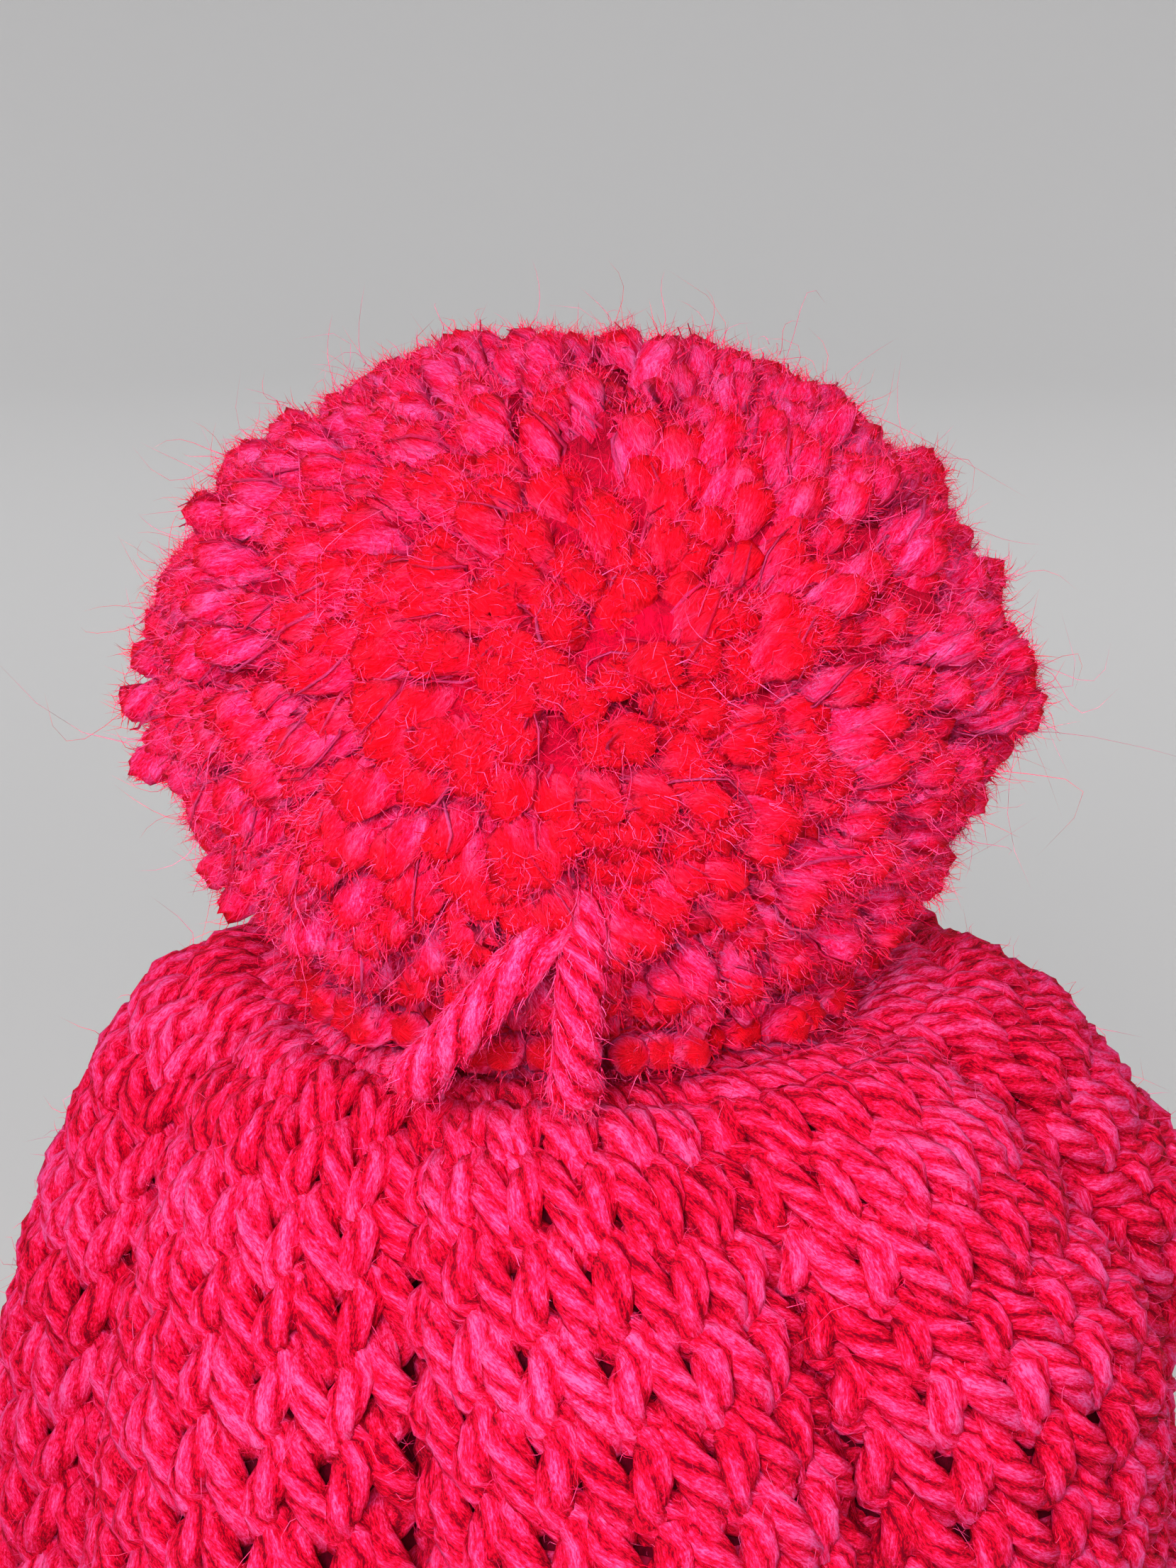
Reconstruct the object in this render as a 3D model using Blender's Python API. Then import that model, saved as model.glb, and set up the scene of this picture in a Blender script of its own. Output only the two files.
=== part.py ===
"""Chunky knitted beanie with a yarn pom: soft solids, +Z up, front towards -Y.

The origin is the centre of the brim's lowest plane. The hat is one knitted tube, gathered
at the top into eight lobes and turned up once at the bottom as a ribbed cuff. The pom is a
tied bundle of yarn lengths, held by a tie that passes through the gathered hole.

All sizes below are in millimetres; add_object and add_empty convert them to metres.
"""
import math

import bpy
import bmesh
from mathutils import Vector

MM = 0.001                      # metres in a millimetre

# ---------------------------------------------------------------- shared dimensions
GAP = 0.4                       # clearance between the fold and the fabric above it
FABRIC = 8.0                    # thickness of the knitted fabric
HEAD_R = 78.0                   # inner radius of the relaxed hat at the brim
WALL_R = HEAD_R + FABRIC        # outer radius of the hat wall inside the cuff
FRONT = math.radians(-90.0)     # azimuth of the front
FOLD_H = 6.0                    # height of the turn at the bottom of the cuff
FABRIC_BOTTOM = FOLD_H + GAP    # lowest edge of the wall and of the cuff
YARN_R = 2.1                    # radius of the plied yarn
LOOSE_END_R = YARN_R * 0.9      # radius of the single yarn ends inside the hat
PIVOT = Vector((0.0, 0.0, 195.0))   # where the tie bends, in the gathered hole

PINK = (0.80, 0.006, 0.085, 1.0)
CRIMSON = (0.62, 0.004, 0.06, 1.0)
RED_PINK = (0.88, 0.008, 0.05, 1.0)


# ---------------------------------------------------------------- objects
def clear_scene():
    for ob in list(bpy.data.objects):
        bpy.data.objects.remove(ob, do_unlink=True)


def yarn_material(name, colour):
    material = bpy.data.materials.new(name)
    material.use_nodes = True
    shader = material.node_tree.nodes["Principled BSDF"]
    shader.inputs["Base Color"].default_value = colour
    shader.inputs["Roughness"].default_value = 0.85
    shader.inputs["Metallic"].default_value = 0.0
    return material


def add_object(name, body, colour, parent=None):
    """One closed body from (points, faces). A parented body has its origin at the pivot."""
    points, faces = body
    origin = PIVOT if parent else Vector()
    bm = bmesh.new()
    bm_verts = [bm.verts.new((Vector(point) - origin) * MM) for point in points]
    for face in faces:
        bm.faces.new([bm_verts[i] for i in face])
    bmesh.ops.recalc_face_normals(bm, faces=bm.faces)
    if bm.calc_volume(signed=True) < 0:
        bmesh.ops.reverse_faces(bm, faces=bm.faces)
    mesh = bpy.data.meshes.new(name)
    bm.to_mesh(mesh)
    bm.free()
    mesh.shade_smooth()
    mesh.materials.append(yarn_material(name + "_yarn", colour))
    ob = bpy.data.objects.new(name, mesh)
    bpy.context.scene.collection.objects.link(ob)
    ob.parent = parent


def add_empty(name, location=(0.0, 0.0, 0.0), parent=None):
    empty = bpy.data.objects.new(name, None)
    empty.location = Vector(location) * MM
    empty.parent = parent
    bpy.context.scene.collection.objects.link(empty)
    return empty


# ---------------------------------------------------------------- body builders
def polar(radius, azimuth, z):
    return Vector((radius * math.cos(azimuth), radius * math.sin(azimuth), z))


def around(count):
    """Angles of `count` equal steps round a circle."""
    return [2 * math.pi * k / count for k in range(count)]


def closed_ring(steps, profile):
    """A body whose closed profile, (radius, z) rows at an azimuth, goes once round Z."""
    points = []
    for azimuth in around(steps):
        rows = profile(azimuth)
        points.extend(polar(radius, azimuth, z) for radius, z in rows)
    size = len(rows)
    faces = []
    for j in range(steps):
        k = (j + 1) % steps
        for i in range(size):
            i2 = (i + 1) % size
            faces.append((j * size + i, k * size + i, k * size + i2, j * size + i2))
    return points, faces


def capped_rings(first, rings, last):
    """Equal rings of points joined in order, closed by a single point at each end."""
    points = [first] + [point for ring in rings for point in ring] + [last]
    size = len(rings[0])
    last_ring = 1 + (len(rings) - 1) * size
    faces = []
    for j in range(size):
        k = (j + 1) % size
        faces.append((0, 1 + j, 1 + k))
        for a in range(1, last_ring, size):
            b = a + size
            faces.append((a + j, b + j, b + k, a + k))
        faces.append((last_ring + j, len(points) - 1, last_ring + k))
    return points, faces


def tube(path, radius, sides=8):
    """A round tube along open points, with flat ends."""
    path = [Vector(point) for point in path]
    count = len(path)
    tangent = (path[1] - path[0]).normalized()
    reference = Vector((1, 0, 0)) if abs(tangent.x) < 0.9 else Vector((0, 1, 0))
    side = tangent.cross(reference).normalized()
    points, faces = [], []
    for i, centre in enumerate(path):
        tangent = (path[min(i + 1, count - 1)] - path[max(i - 1, 0)]).normalized()
        side = (side - tangent * side.dot(tangent)).normalized()
        up = tangent.cross(side)
        for angle in around(sides):
            points.append(centre + side * (radius * math.cos(angle))
                          + up * (radius * math.sin(angle)))
    for i in range(count - 1):
        a, b = i * sides, (i + 1) * sides
        for j in range(sides):
            k = (j + 1) % sides
            faces.append((a + j, a + k, b + k, b + j))
    faces.append(tuple(range(sides)))
    faces.append(tuple((count - 1) * sides + j for j in reversed(range(sides))))
    return points, faces


def spline(controls, count):
    """`count` points on a Catmull-Rom curve through the control points."""
    knots = [Vector(point) for point in controls]
    knots = [knots[0] * 2 - knots[1]] + knots + [knots[-1] * 2 - knots[-2]]
    spans = len(controls) - 1
    curve = []
    for i in range(count):
        along = spans * i / (count - 1)
        k = min(int(along), spans - 1)
        t = along - k
        p0, p1, p2, p3 = knots[k:k + 4]
        curve.append(0.5 * (2 * p1 + (p2 - p0) * t + (2 * p0 - 5 * p1 + 4 * p2 - p3) * t * t
                            + (3 * p1 - p0 - 3 * p2 + p3) * t ** 3))
    return curve


# ---------------------------------------------------------------- crown
WALES = 56                      # stitches round the hat
LOBES = 8                       # gathered lobes of the crown

# Outer face, from the gathered hole to the bottom of the wall:
# (radius of a lobe's crest, its height, depth of the valleys between lobes)
CROWN_STATIONS = [
    (9.4, 195.6, 0.6), (17.0, 196.6, 1.8), (26.0, 199.0, 3.8), (34.0, 200.9, 6.0),
    (41.0, 201.1, 7.8), (47.5, 198.2, 8.8), (53.0, 192.0, 9.4), (57.6, 183.0, 9.4),
    (63.2, 171.0, 8.8), (67.8, 156.0, 7.6), (72.0, 139.0, 5.8), (75.9, 120.0, 3.8),
    (79.8, 100.0, 1.9), (83.1, 79.0, 0.5), (85.2, 60.0, 0.0), (WALL_R, 44.0, 0.0),
    (WALL_R, FABRIC_BOTTOM, 0.0),
]
CREST = [(radius, z) for radius, z, _ in CROWN_STATIONS]
# distance down the fabric from the hole to each station
CREST_RUN = [sum(math.dist(CREST[k], CREST[k + 1]) for k in range(i))
             for i in range(len(CREST))]
VALLEY_DROP = 0.25              # share of the valley depth by which a high valley also sinks
VALLEY_DROP_Z = 190.0           # crest height above which it sinks

# stations that the inner face follows, and how closely
INNER_STATIONS = [0, 2, 4, 6, 7, 8, 9, 10, 11, 12, 13, 14, 16]
INNER_VALLEY = 0.9              # share of the full valley depth added to the fabric
INNER_LEAN = 0.8                # share of the outer face's lean

# On the right (+X) side the crown leans out below the shoulder, and the shoulder slopes.
LEAN, LEAN_Z, LEAN_SPREAD = 9.0, 176.0, 26.0        # amount, middle height, spread
SLOPE, SLOPE_R, SLOPE_SPREAD = 4.5, 56.0, 12.0      # drop, middle radius, spread
SLOPE_MIN_Z = 180.0             # crest height below which nothing drops
RIGHT_FALLOFF = 1.5             # how fast both fade away from +X

# The lobes swing round the hat between the hole and SKEW_END.
SKEW = 0.0030                   # radians for each mm down the fabric
SKEW_START = 42.0               # distance down the fabric where the swing is zero
SKEW_END = 95.0                 # distance down the fabric where the swing stops


def lobe(azimuth, i):
    """0 on a lobe's crest, 1 in the valley between two lobes."""
    swing = SKEW * (min(CREST_RUN[i], SKEW_END) - SKEW_START)
    return 1.0 - abs(math.cos(0.5 * LOBES * (azimuth - FRONT - swing)))


def right_bump(azimuth, amount, value, middle, spread):
    """A bell-shaped amount, greatest at +X and absent from the left half."""
    facing = max(0.0, math.cos(azimuth)) ** RIGHT_FALLOFF
    return amount * facing * math.exp(-(((value - middle) / spread) ** 2))


def lean(azimuth, z):
    return right_bump(azimuth, LEAN, z, LEAN_Z, LEAN_SPREAD)


def crown_outer(azimuth, i):
    radius, z, valley = CROWN_STATIONS[i]
    low = valley * lobe(azimuth, i)
    drop = VALLEY_DROP * low if z > VALLEY_DROP_Z else 0.0
    if z >= SLOPE_MIN_Z:
        drop += right_bump(azimuth, SLOPE, radius, SLOPE_R, SLOPE_SPREAD)
    return radius - low + lean(azimuth, z), z - drop


def crown_inner(azimuth, i):
    radius, z, valley = CROWN_STATIONS[i]
    last = len(CREST) - 1
    if i == 0:
        inward = (0.0, -1.0)
    elif i == last:
        inward = (-1.0, 0.0)
    else:
        before, after = CREST[i - 1], CREST[i + 1]
        length = math.dist(before, after)
        inward = ((after[1] - before[1]) / length, -(after[0] - before[0]) / length)
    # the fabric keeps its own thickness beside the hole
    depth = FABRIC + (valley * INNER_VALLEY if i > 1 else 0.0)
    return (radius + inward[0] * depth + lean(azimuth, z) * INNER_LEAN,
            z + inward[1] * depth)


def crown_profile(azimuth):
    return ([crown_outer(azimuth, i) for i in range(len(CREST))]
            + [crown_inner(azimuth, i) for i in reversed(INNER_STATIONS)])


# ---------------------------------------------------------------- cuff and fold
CUFF_TOP = 60.0                 # cast-on edge of the turned-up cuff
CUFF_MID = 34.0                 # middle row of the cuff's faces
CUFF_IN_R = WALL_R + 0.5
CUFF_OUT_R = CUFF_IN_R + FABRIC
RIBS = 14                       # two-by-two ribs round the cuff
RIB_STEPS = 6                   # segments in each rib
RIB_DEPTH = 2.0
RIB_FULLNESS = 0.6              # exponent below 1 broadens the rib and narrows the groove
FOLD_STEPS = 60


def cuff_profile(azimuth):
    rib = (0.5 + 0.5 * math.cos(RIBS * (azimuth - FRONT))) ** RIB_FULLNESS
    outer = CUFF_OUT_R - RIB_DEPTH * (1 - rib)
    return [
        (CUFF_IN_R, FABRIC_BOTTOM), (outer - 0.6, FABRIC_BOTTOM),
        (outer, FABRIC_BOTTOM + 8.0), (outer, CUFF_MID), (outer, CUFF_TOP - 5.0),
        (outer - 1.6, CUFF_TOP - 1.2), (CUFF_IN_R + 3.2, CUFF_TOP),
        (CUFF_IN_R + 0.8, CUFF_TOP - 1.6), (CUFF_IN_R, CUFF_TOP - 5.0),
        (CUFF_IN_R, CUFF_MID),
    ]


def fold_profile(_azimuth):
    """The rounded turn of fabric under the wall and the cuff."""
    return [
        (HEAD_R + 3.4, 0.0), (CUFF_OUT_R - 4.2, 0.0), (CUFF_OUT_R - 1.6, 1.4),
        (CUFF_OUT_R - 0.6, 3.8), (CUFF_OUT_R - 0.8, FOLD_H), (HEAD_R + 0.3, FOLD_H),
        (HEAD_R + 0.2, 3.8), (HEAD_R + 1.2, 1.4),
    ]


# ---------------------------------------------------------------- gather cord and yarn ends
GATHER_RING_R = 7.4             # centre line of the cord round the hole
GATHER_CORD_R = 1.6
GATHER_Z = 193.4
GATHER_STEPS = 24
GATHER_SIDES = 8

# centre lines (x, y, z)
GATHER_TAIL = [(-9.5, 5.0, 185.4), (-11.5, 6.5, 181.0), (-13.0, 9.0, 172.0),
               (-12.0, 10.0, 160.0)]
# down the inside of the wall at the back
CAST_ON_TAIL = [(-6.0, HEAD_R - 2.6, 12.0), (-3.0, HEAD_R - 2.6, 23.0),
                (1.0, HEAD_R - 2.6, 33.0), (2.0, HEAD_R - 3.2, 42.0)]


def gather_profile(_azimuth):
    return [(GATHER_RING_R + GATHER_CORD_R * math.cos(angle),
             GATHER_Z + GATHER_CORD_R * math.sin(angle)) for angle in around(GATHER_SIDES)]


def build_hat():
    add_object("crown_knit", closed_ring(WALES, crown_profile), PINK)
    add_object("cuff_outer", closed_ring(RIBS * RIB_STEPS, cuff_profile), PINK)
    add_object("brim_fold", closed_ring(FOLD_STEPS, fold_profile), PINK)
    add_object("gather_cord", closed_ring(GATHER_STEPS, gather_profile), CRIMSON)
    add_object("gather_tail", tube(spline(GATHER_TAIL, 8), LOOSE_END_R), CRIMSON)
    add_object("cast_on_tail", tube(spline(CAST_ON_TAIL, 9), LOOSE_END_R), PINK)


# ---------------------------------------------------------------- knot and tie
SIDES = ((-1, "left"), (1, "right"))    # sign of x, name

KNOT_TOP_Z, KNOT_BOTTOM_Z = 188.4, 180.2
KNOT_ROWS = [(3.2, 188.0), (4.9, 186.2), (4.4, 184.6), (5.2, 183.0), (4.2, 181.0)]  # radius, z
KNOT_STEPS = 12
KNOT_OVAL = 0.08                # each row is oval by this share, turned by its height
KNOT_TAIL_R = YARN_R * 0.85
TIE_R = 1.7
TIE_X = 2.4                     # distance of each strand from the axis
TIE_HEIGHTS = (190.2, PIVOT.z, 202.0, 214.0, 226.4)


def knot_body():
    rings = [[polar(radius * (1.0 + KNOT_OVAL * math.cos(2 * angle + z)), angle, z)
              for angle in around(KNOT_STEPS)] for radius, z in KNOT_ROWS]
    return capped_rings(Vector((0, 0, KNOT_TOP_Z)), rings, Vector((0, 0, KNOT_BOTTOM_Z)))


def build_knot(parent):
    add_object("inside_knot", knot_body(), CRIMSON, parent)
    for sign, side in SIDES:
        path = spline([(sign * 2.1, 0.0, 179.2), (sign * 2.8, 0.8, 172.0),
                       (sign * 4.6, -0.6, 163.0), (sign * 5.0, sign * 1.2, 155.0)], 8)
        add_object("knot_tail_" + side, tube(path, KNOT_TAIL_R), CRIMSON, parent)


def build_tie(parent):
    for sign, side in SIDES:
        path = [(sign * TIE_X, 0.0, z) for z in TIE_HEIGHTS]
        add_object("pom_tie_" + side, tube(path, TIE_R), CRIMSON, parent)


# ---------------------------------------------------------------- pom
POM_Z = 234.0                   # centre of the pom
POM_HALF_W, POM_HALF_H = 49.0, 35.5
HOLLOW_HALF_W, HOLLOW_HALF_H = 12.5, 10.5   # hollow round the tied waist
TUFT_GAP = math.radians(2.3)    # half the angle left open between yarn bundles

CORE_STATIONS = (-8.4, -5.5, -2.5, 0.0, 2.5, 5.5, 8.4)      # x along the waist
CORE_R = 4.1
CORE_SIDES = 10

WRAP_TURNS = 2.0
WRAP_STEPS = 32
WRAP_HALF_W = 3.2               # half the wrap's length along X
WRAP_COIL_R = 5.85              # centre line of the coil
WRAP_YARN_R = 1.2

# Depths in the pom run from 0 on the hollow to 1 on the outside.
MID_DEPTH = 0.55                # ring of points part way out a bundle's sides
EDGE_DROP = 0.075               # how far a bundle's cut end falls at its edges
BUNDLE_COLS, BUNDLE_ROWS = 5, 4     # faces across (azimuth) and up (elevation)
CAP_STEPS = 12
# rings of the top bundle: (share of the way from its rim to the pole, depth)
CAP_ROWS = [(0.75, 0.0), (0.4, 0.0), (0.0, 0.0), (0.0, MID_DEPTH), (0.0, 0.93),
            (0.35, 0.985), (0.7, 1.0)]
POLE = math.pi / 2

# elevations between the bands, degrees
CAP_EDGE, UPPER_EDGE, SIDE_EDGE, LOWER_EDGE = 60.0, 21.0, -16.0, -50.0
# name, low and high elevation, azimuth of the first bundle's middle, depth of each bundle
BANDS = (
    ("upper", UPPER_EDGE, CAP_EDGE, -90.0, (1.0, 0.97, 1.0, 0.96, 0.99)),
    ("side", SIDE_EDGE, UPPER_EDGE, -60.0, (0.98, 1.0, 0.97, 1.0, 0.99, 0.98)),
    ("lower", LOWER_EDGE, SIDE_EDGE, -90.0, (0.99, 0.97, 0.99, 0.97)),
)


def pom_point(azimuth, elevation, depth):
    half_w = HOLLOW_HALF_W + (POM_HALF_W - HOLLOW_HALF_W) * depth
    half_h = HOLLOW_HALF_H + (POM_HALF_H - HOLLOW_HALF_H) * depth
    return polar(half_w * math.cos(elevation), azimuth, POM_Z + half_h * math.sin(elevation))


def bundle(az0, az1, el0, el1, reach):
    """Strands fanning out from the waist between two azimuths and two elevations,
    domed at their cut ends."""
    az0, az1, el0, el1 = az0 + TUFT_GAP, az1 - TUFT_GAP, el0 + TUFT_GAP, el1 - TUFT_GAP
    cols, rows = BUNDLE_COLS, BUNDLE_ROWS
    points = []
    for layer in range(3):
        for i in range(rows + 1):
            for j in range(cols + 1):
                edge = max(abs(2 * j / cols - 1), abs(2 * i / rows - 1))
                depth = (0.0, MID_DEPTH, reach * (1 - EDGE_DROP * edge ** 2))[layer]
                points.append(pom_point(az0 + (az1 - az0) * j / cols,
                                        el0 + (el1 - el0) * i / rows, depth))

    def index(layer, i, j):
        return (layer * (rows + 1) + i) * (cols + 1) + j

    def side_face(layer, start, end):
        return (index(layer, *start), index(layer, *end),
                index(layer + 1, *end), index(layer + 1, *start))

    faces = []
    for i in range(rows):
        for j in range(cols):
            faces.append((index(0, i, j), index(0, i + 1, j),
                          index(0, i + 1, j + 1), index(0, i, j + 1)))
            faces.append((index(2, i, j), index(2, i, j + 1),
                          index(2, i + 1, j + 1), index(2, i + 1, j)))
    for layer in (0, 1):
        for j in range(cols):
            faces.append(side_face(layer, (0, j), (0, j + 1)))
            faces.append(side_face(layer, (rows, j + 1), (rows, j)))
        for i in range(rows):
            faces.append(side_face(layer, (i + 1, 0), (i, 0)))
            faces.append(side_face(layer, (i, cols), (i + 1, cols)))

    # only the rim of the middle layer is on the surface, so its other points go
    used = sorted({i for face in faces for i in face})
    renumber = {old: new for new, old in enumerate(used)}
    return [points[i] for i in used], [tuple(renumber[i] for i in face) for face in faces]


def cap_bundle():
    """The bundle round the pom's upper pole."""
    rim = math.radians(CAP_EDGE) + TUFT_GAP
    rings = [[pom_point(azimuth, rim + (POLE - rim) * share, depth)
              for azimuth in around(CAP_STEPS)] for share, depth in CAP_ROWS]
    return capped_rings(pom_point(0.0, POLE, 0.0), rings, pom_point(0.0, POLE, 1.0))


def wrap_path():
    """A coil round the core, advancing along X."""
    path = []
    for k in range(WRAP_STEPS + 1):
        share = k / WRAP_STEPS
        angle = 2 * math.pi * WRAP_TURNS * share
        path.append((WRAP_HALF_W * (2 * share - 1), WRAP_COIL_R * math.sin(angle),
                     POM_Z + WRAP_COIL_R * math.cos(angle)))
    return path


def build_pom(parent):
    core = [(x, 0.0, POM_Z) for x in CORE_STATIONS]
    add_object("pom_core", tube(core, CORE_R, CORE_SIDES), CRIMSON, parent)
    add_object("binding_wrap", tube(wrap_path(), WRAP_YARN_R), CRIMSON, parent)
    add_object("pom_bundle_top", cap_bundle(), RED_PINK, parent)
    for band, low, high, first_middle, reaches in BANDS:
        step = 360.0 / len(reaches)
        for k, reach in enumerate(reaches):
            start = first_middle + step * (k - 0.5)
            body = bundle(math.radians(start), math.radians(start + step),
                          math.radians(low), math.radians(high), reach)
            add_object(f"pom_bundle_{band}_{k + 1}", body, RED_PINK, parent)


# ---------------------------------------------------------------- build
clear_scene()
build_hat()

# nested pivots in the gathered hole: the knot follows the first, the tie the second
# and the pom the third
tilt_front = add_empty("tilt_front_axis", location=PIVOT)
tilt_side = add_empty("tilt_side_axis", parent=tilt_front)
pom_twist = add_empty("pom_twist_axis", parent=tilt_side)
build_knot(tilt_front)
build_tie(tilt_side)
build_pom(pom_twist)
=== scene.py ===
# Chunky knitted beanie with a turned-up ribbed cuff and a yarn pom. It stands on z = 0 about the
# z axis, front towards -y. Every stitch and every pom strand is modelled as plied yarn.
# The fabric's form is worked out in mm; everything handed to Blender is in metres.
import math

import bmesh
import bpy
import numpy as np
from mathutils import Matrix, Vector


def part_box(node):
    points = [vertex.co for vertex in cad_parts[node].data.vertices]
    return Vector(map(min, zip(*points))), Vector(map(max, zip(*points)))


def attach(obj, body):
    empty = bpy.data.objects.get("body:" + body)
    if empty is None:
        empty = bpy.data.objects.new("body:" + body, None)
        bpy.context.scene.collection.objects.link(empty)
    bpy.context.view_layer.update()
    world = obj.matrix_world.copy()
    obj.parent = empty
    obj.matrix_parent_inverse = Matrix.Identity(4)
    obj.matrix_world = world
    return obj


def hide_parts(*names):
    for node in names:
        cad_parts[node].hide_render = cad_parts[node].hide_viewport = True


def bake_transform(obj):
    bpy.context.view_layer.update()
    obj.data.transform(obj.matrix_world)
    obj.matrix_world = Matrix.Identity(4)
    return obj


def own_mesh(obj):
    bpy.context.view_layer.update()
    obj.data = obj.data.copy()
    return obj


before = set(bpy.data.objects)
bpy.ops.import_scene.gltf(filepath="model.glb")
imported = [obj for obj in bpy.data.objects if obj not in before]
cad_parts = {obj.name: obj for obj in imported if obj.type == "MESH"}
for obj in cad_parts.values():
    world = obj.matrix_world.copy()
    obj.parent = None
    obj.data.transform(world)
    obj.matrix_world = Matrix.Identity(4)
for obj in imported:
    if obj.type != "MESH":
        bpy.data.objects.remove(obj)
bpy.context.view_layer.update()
MM = 0.001
RNG = np.random.default_rng(11)


def box(node):
    return [np.array(corner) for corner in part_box(node)]


core_lo, core_hi = box("pom_core")
POM_C = (core_lo + core_hi) / 2
POM_A = 49.0 * MM                       # half width of the pom
POM_H = 35.5 * MM                       # half height of the pom
POM_RADII = np.array([POM_A, POM_A, POM_H])
VIEW_ELEV = math.radians(16)            # the camera looks down at the pom by this angle
VIEW_DIR = np.array([0.0, -math.cos(VIEW_ELEV), math.sin(VIEW_ELEV)])

# ------------------------------------------------------------------ fabric form, in mm
WALES = 56
LOBES = 8
PER_LOBE = WALES // LOBES
FRONT = math.radians(-90.0)
HALF = 4.0                              # half the fabric's thickness
# (radius, height) of the outer face along a lobe's crest, from the gathered hole to the fold
CREST = [
    (9.4, 195.6), (17.0, 196.6), (26.0, 199.0), (34.0, 200.9), (41.0, 201.1), (47.5, 198.2),
    (53.0, 192.0), (57.6, 183.0), (63.2, 171.0), (67.8, 156.0), (72.0, 139.0), (75.9, 120.0),
    (79.8, 100.0), (83.1, 79.0), (85.2, 60.0), (86.0, 44.0), (86.0, 9.0),
]
# depth of the valley between lobes at each crest point
VALLEY = [0.6, 1.8, 3.8, 6.0, 7.8, 8.8, 9.4, 9.4, 8.8, 7.6, 5.8, 3.8, 1.9, 0.5, 0.0, 0.0, 0.0]
LEAN, LEAN_Z, LEAN_W = 9.0, 176.0, 26.0       # bulge on the +x side: size, height, spread
SLOPE, SLOPE_R, SLOPE_W = 4.5, 56.0, 12.0     # drop on the +x side: size, radius, spread
CUFF_MID = 90.5                         # mid radius of the turned-up layer
CUFF_EDGE = 56.6                        # height of the last cuff course's middle
CUFF_POINTS = 40


def unit(vec):
    return vec / (np.linalg.norm(vec, axis=-1, keepdims=True) + 1e-12)


def bell(value, centre, width):
    return np.exp(-(((value - centre) / width) ** 2))


def run_length(points):
    """Distance from the start to each point of one or more lines."""
    step = np.linalg.norm(np.diff(points, axis=-2), axis=-1)
    return np.concatenate([np.zeros(step.shape[:-1] + (1,)), np.cumsum(step, -1)], -1)


def catmull(points, per_span):
    pts = np.array(points, float)
    ext = np.vstack([2 * pts[0] - pts[1], pts, 2 * pts[-1] - pts[-2]])
    out = []
    for k in range(len(pts) - 1):
        t = np.linspace(0, 1, per_span, endpoint=False)[:, None]
        a, b, c, d = ext[k:k + 4]
        out.append(0.5 * (2 * b + (c - a) * t + (2 * a - 5 * b + 4 * c - d) * t * t
                          + (3 * b - a - 3 * c + d) * t ** 3))
    out.append(pts[-1:])
    return np.vstack(out)


def curve(points, fractions, per_span=16):
    """Smooth line through points in mm, sampled at fractions of its length, in metres."""
    dense = catmull(points, per_span)
    along = run_length(dense)
    want = fractions * along[-1]
    return np.stack([np.interp(want, along, dense[:, i]) for i in range(3)], 1) * MM


def build_profile():
    """Fabric's middle line from the gathered hole down the wall, round the fold, up the cuff."""
    dense = catmull([(r, z, depth) for (r, z), depth in zip(CREST, VALLEY)], 24)
    tan = np.gradient(dense[:, :2], axis=0)
    tan /= np.linalg.norm(tan, axis=1)[:, None]
    # gathered fabric packs tighter
    thin = HALF * (0.5 + 0.5 * np.clip((dense[:, 0] - 10) / 22, 0, 1))
    wall = dense[:, :2] + np.stack([tan[:, 1], -tan[:, 0]], 1) * thin[:, None]
    wall[:, 0] = np.maximum(wall[:, 0], 8.0)
    wall[:, 0] -= 2.7 * bell(wall[:, 0], 8, 7)          # drawn in by the cord
    wall_r, wall_z = wall[-1]
    fold_r = (CUFF_MID - wall_r) / 2
    ang = np.linspace(0, math.pi, 24)[1:]
    fold = np.stack([wall_r + fold_r - fold_r * np.cos(ang), wall_z - fold_r * np.sin(ang)], 1)
    cuff = np.stack([np.full(CUFF_POINTS, CUFF_MID),
                     np.linspace(wall_z, CUFF_EDGE + 6, CUFF_POINTS + 1)[1:]], 1)
    line = np.vstack([wall, fold, cuff])
    depth = np.concatenate([dense[:, 2], np.zeros(len(fold) + len(cuff))])
    along = run_length(line)
    cuff_start = len(wall) + len(fold) - 1
    s_edge = along[cuff_start] + (CUFF_EDGE - line[cuff_start, 1])
    return along, line, depth, along[len(wall) - 1], along[cuff_start], s_edge


# distances down the fabric: of each line point, the wall's end, the cuff's start, the last course
LINE_S, LINE, LINE_DEPTH, S_WALL, S_CUFF, S_EDGE = build_profile()


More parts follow.
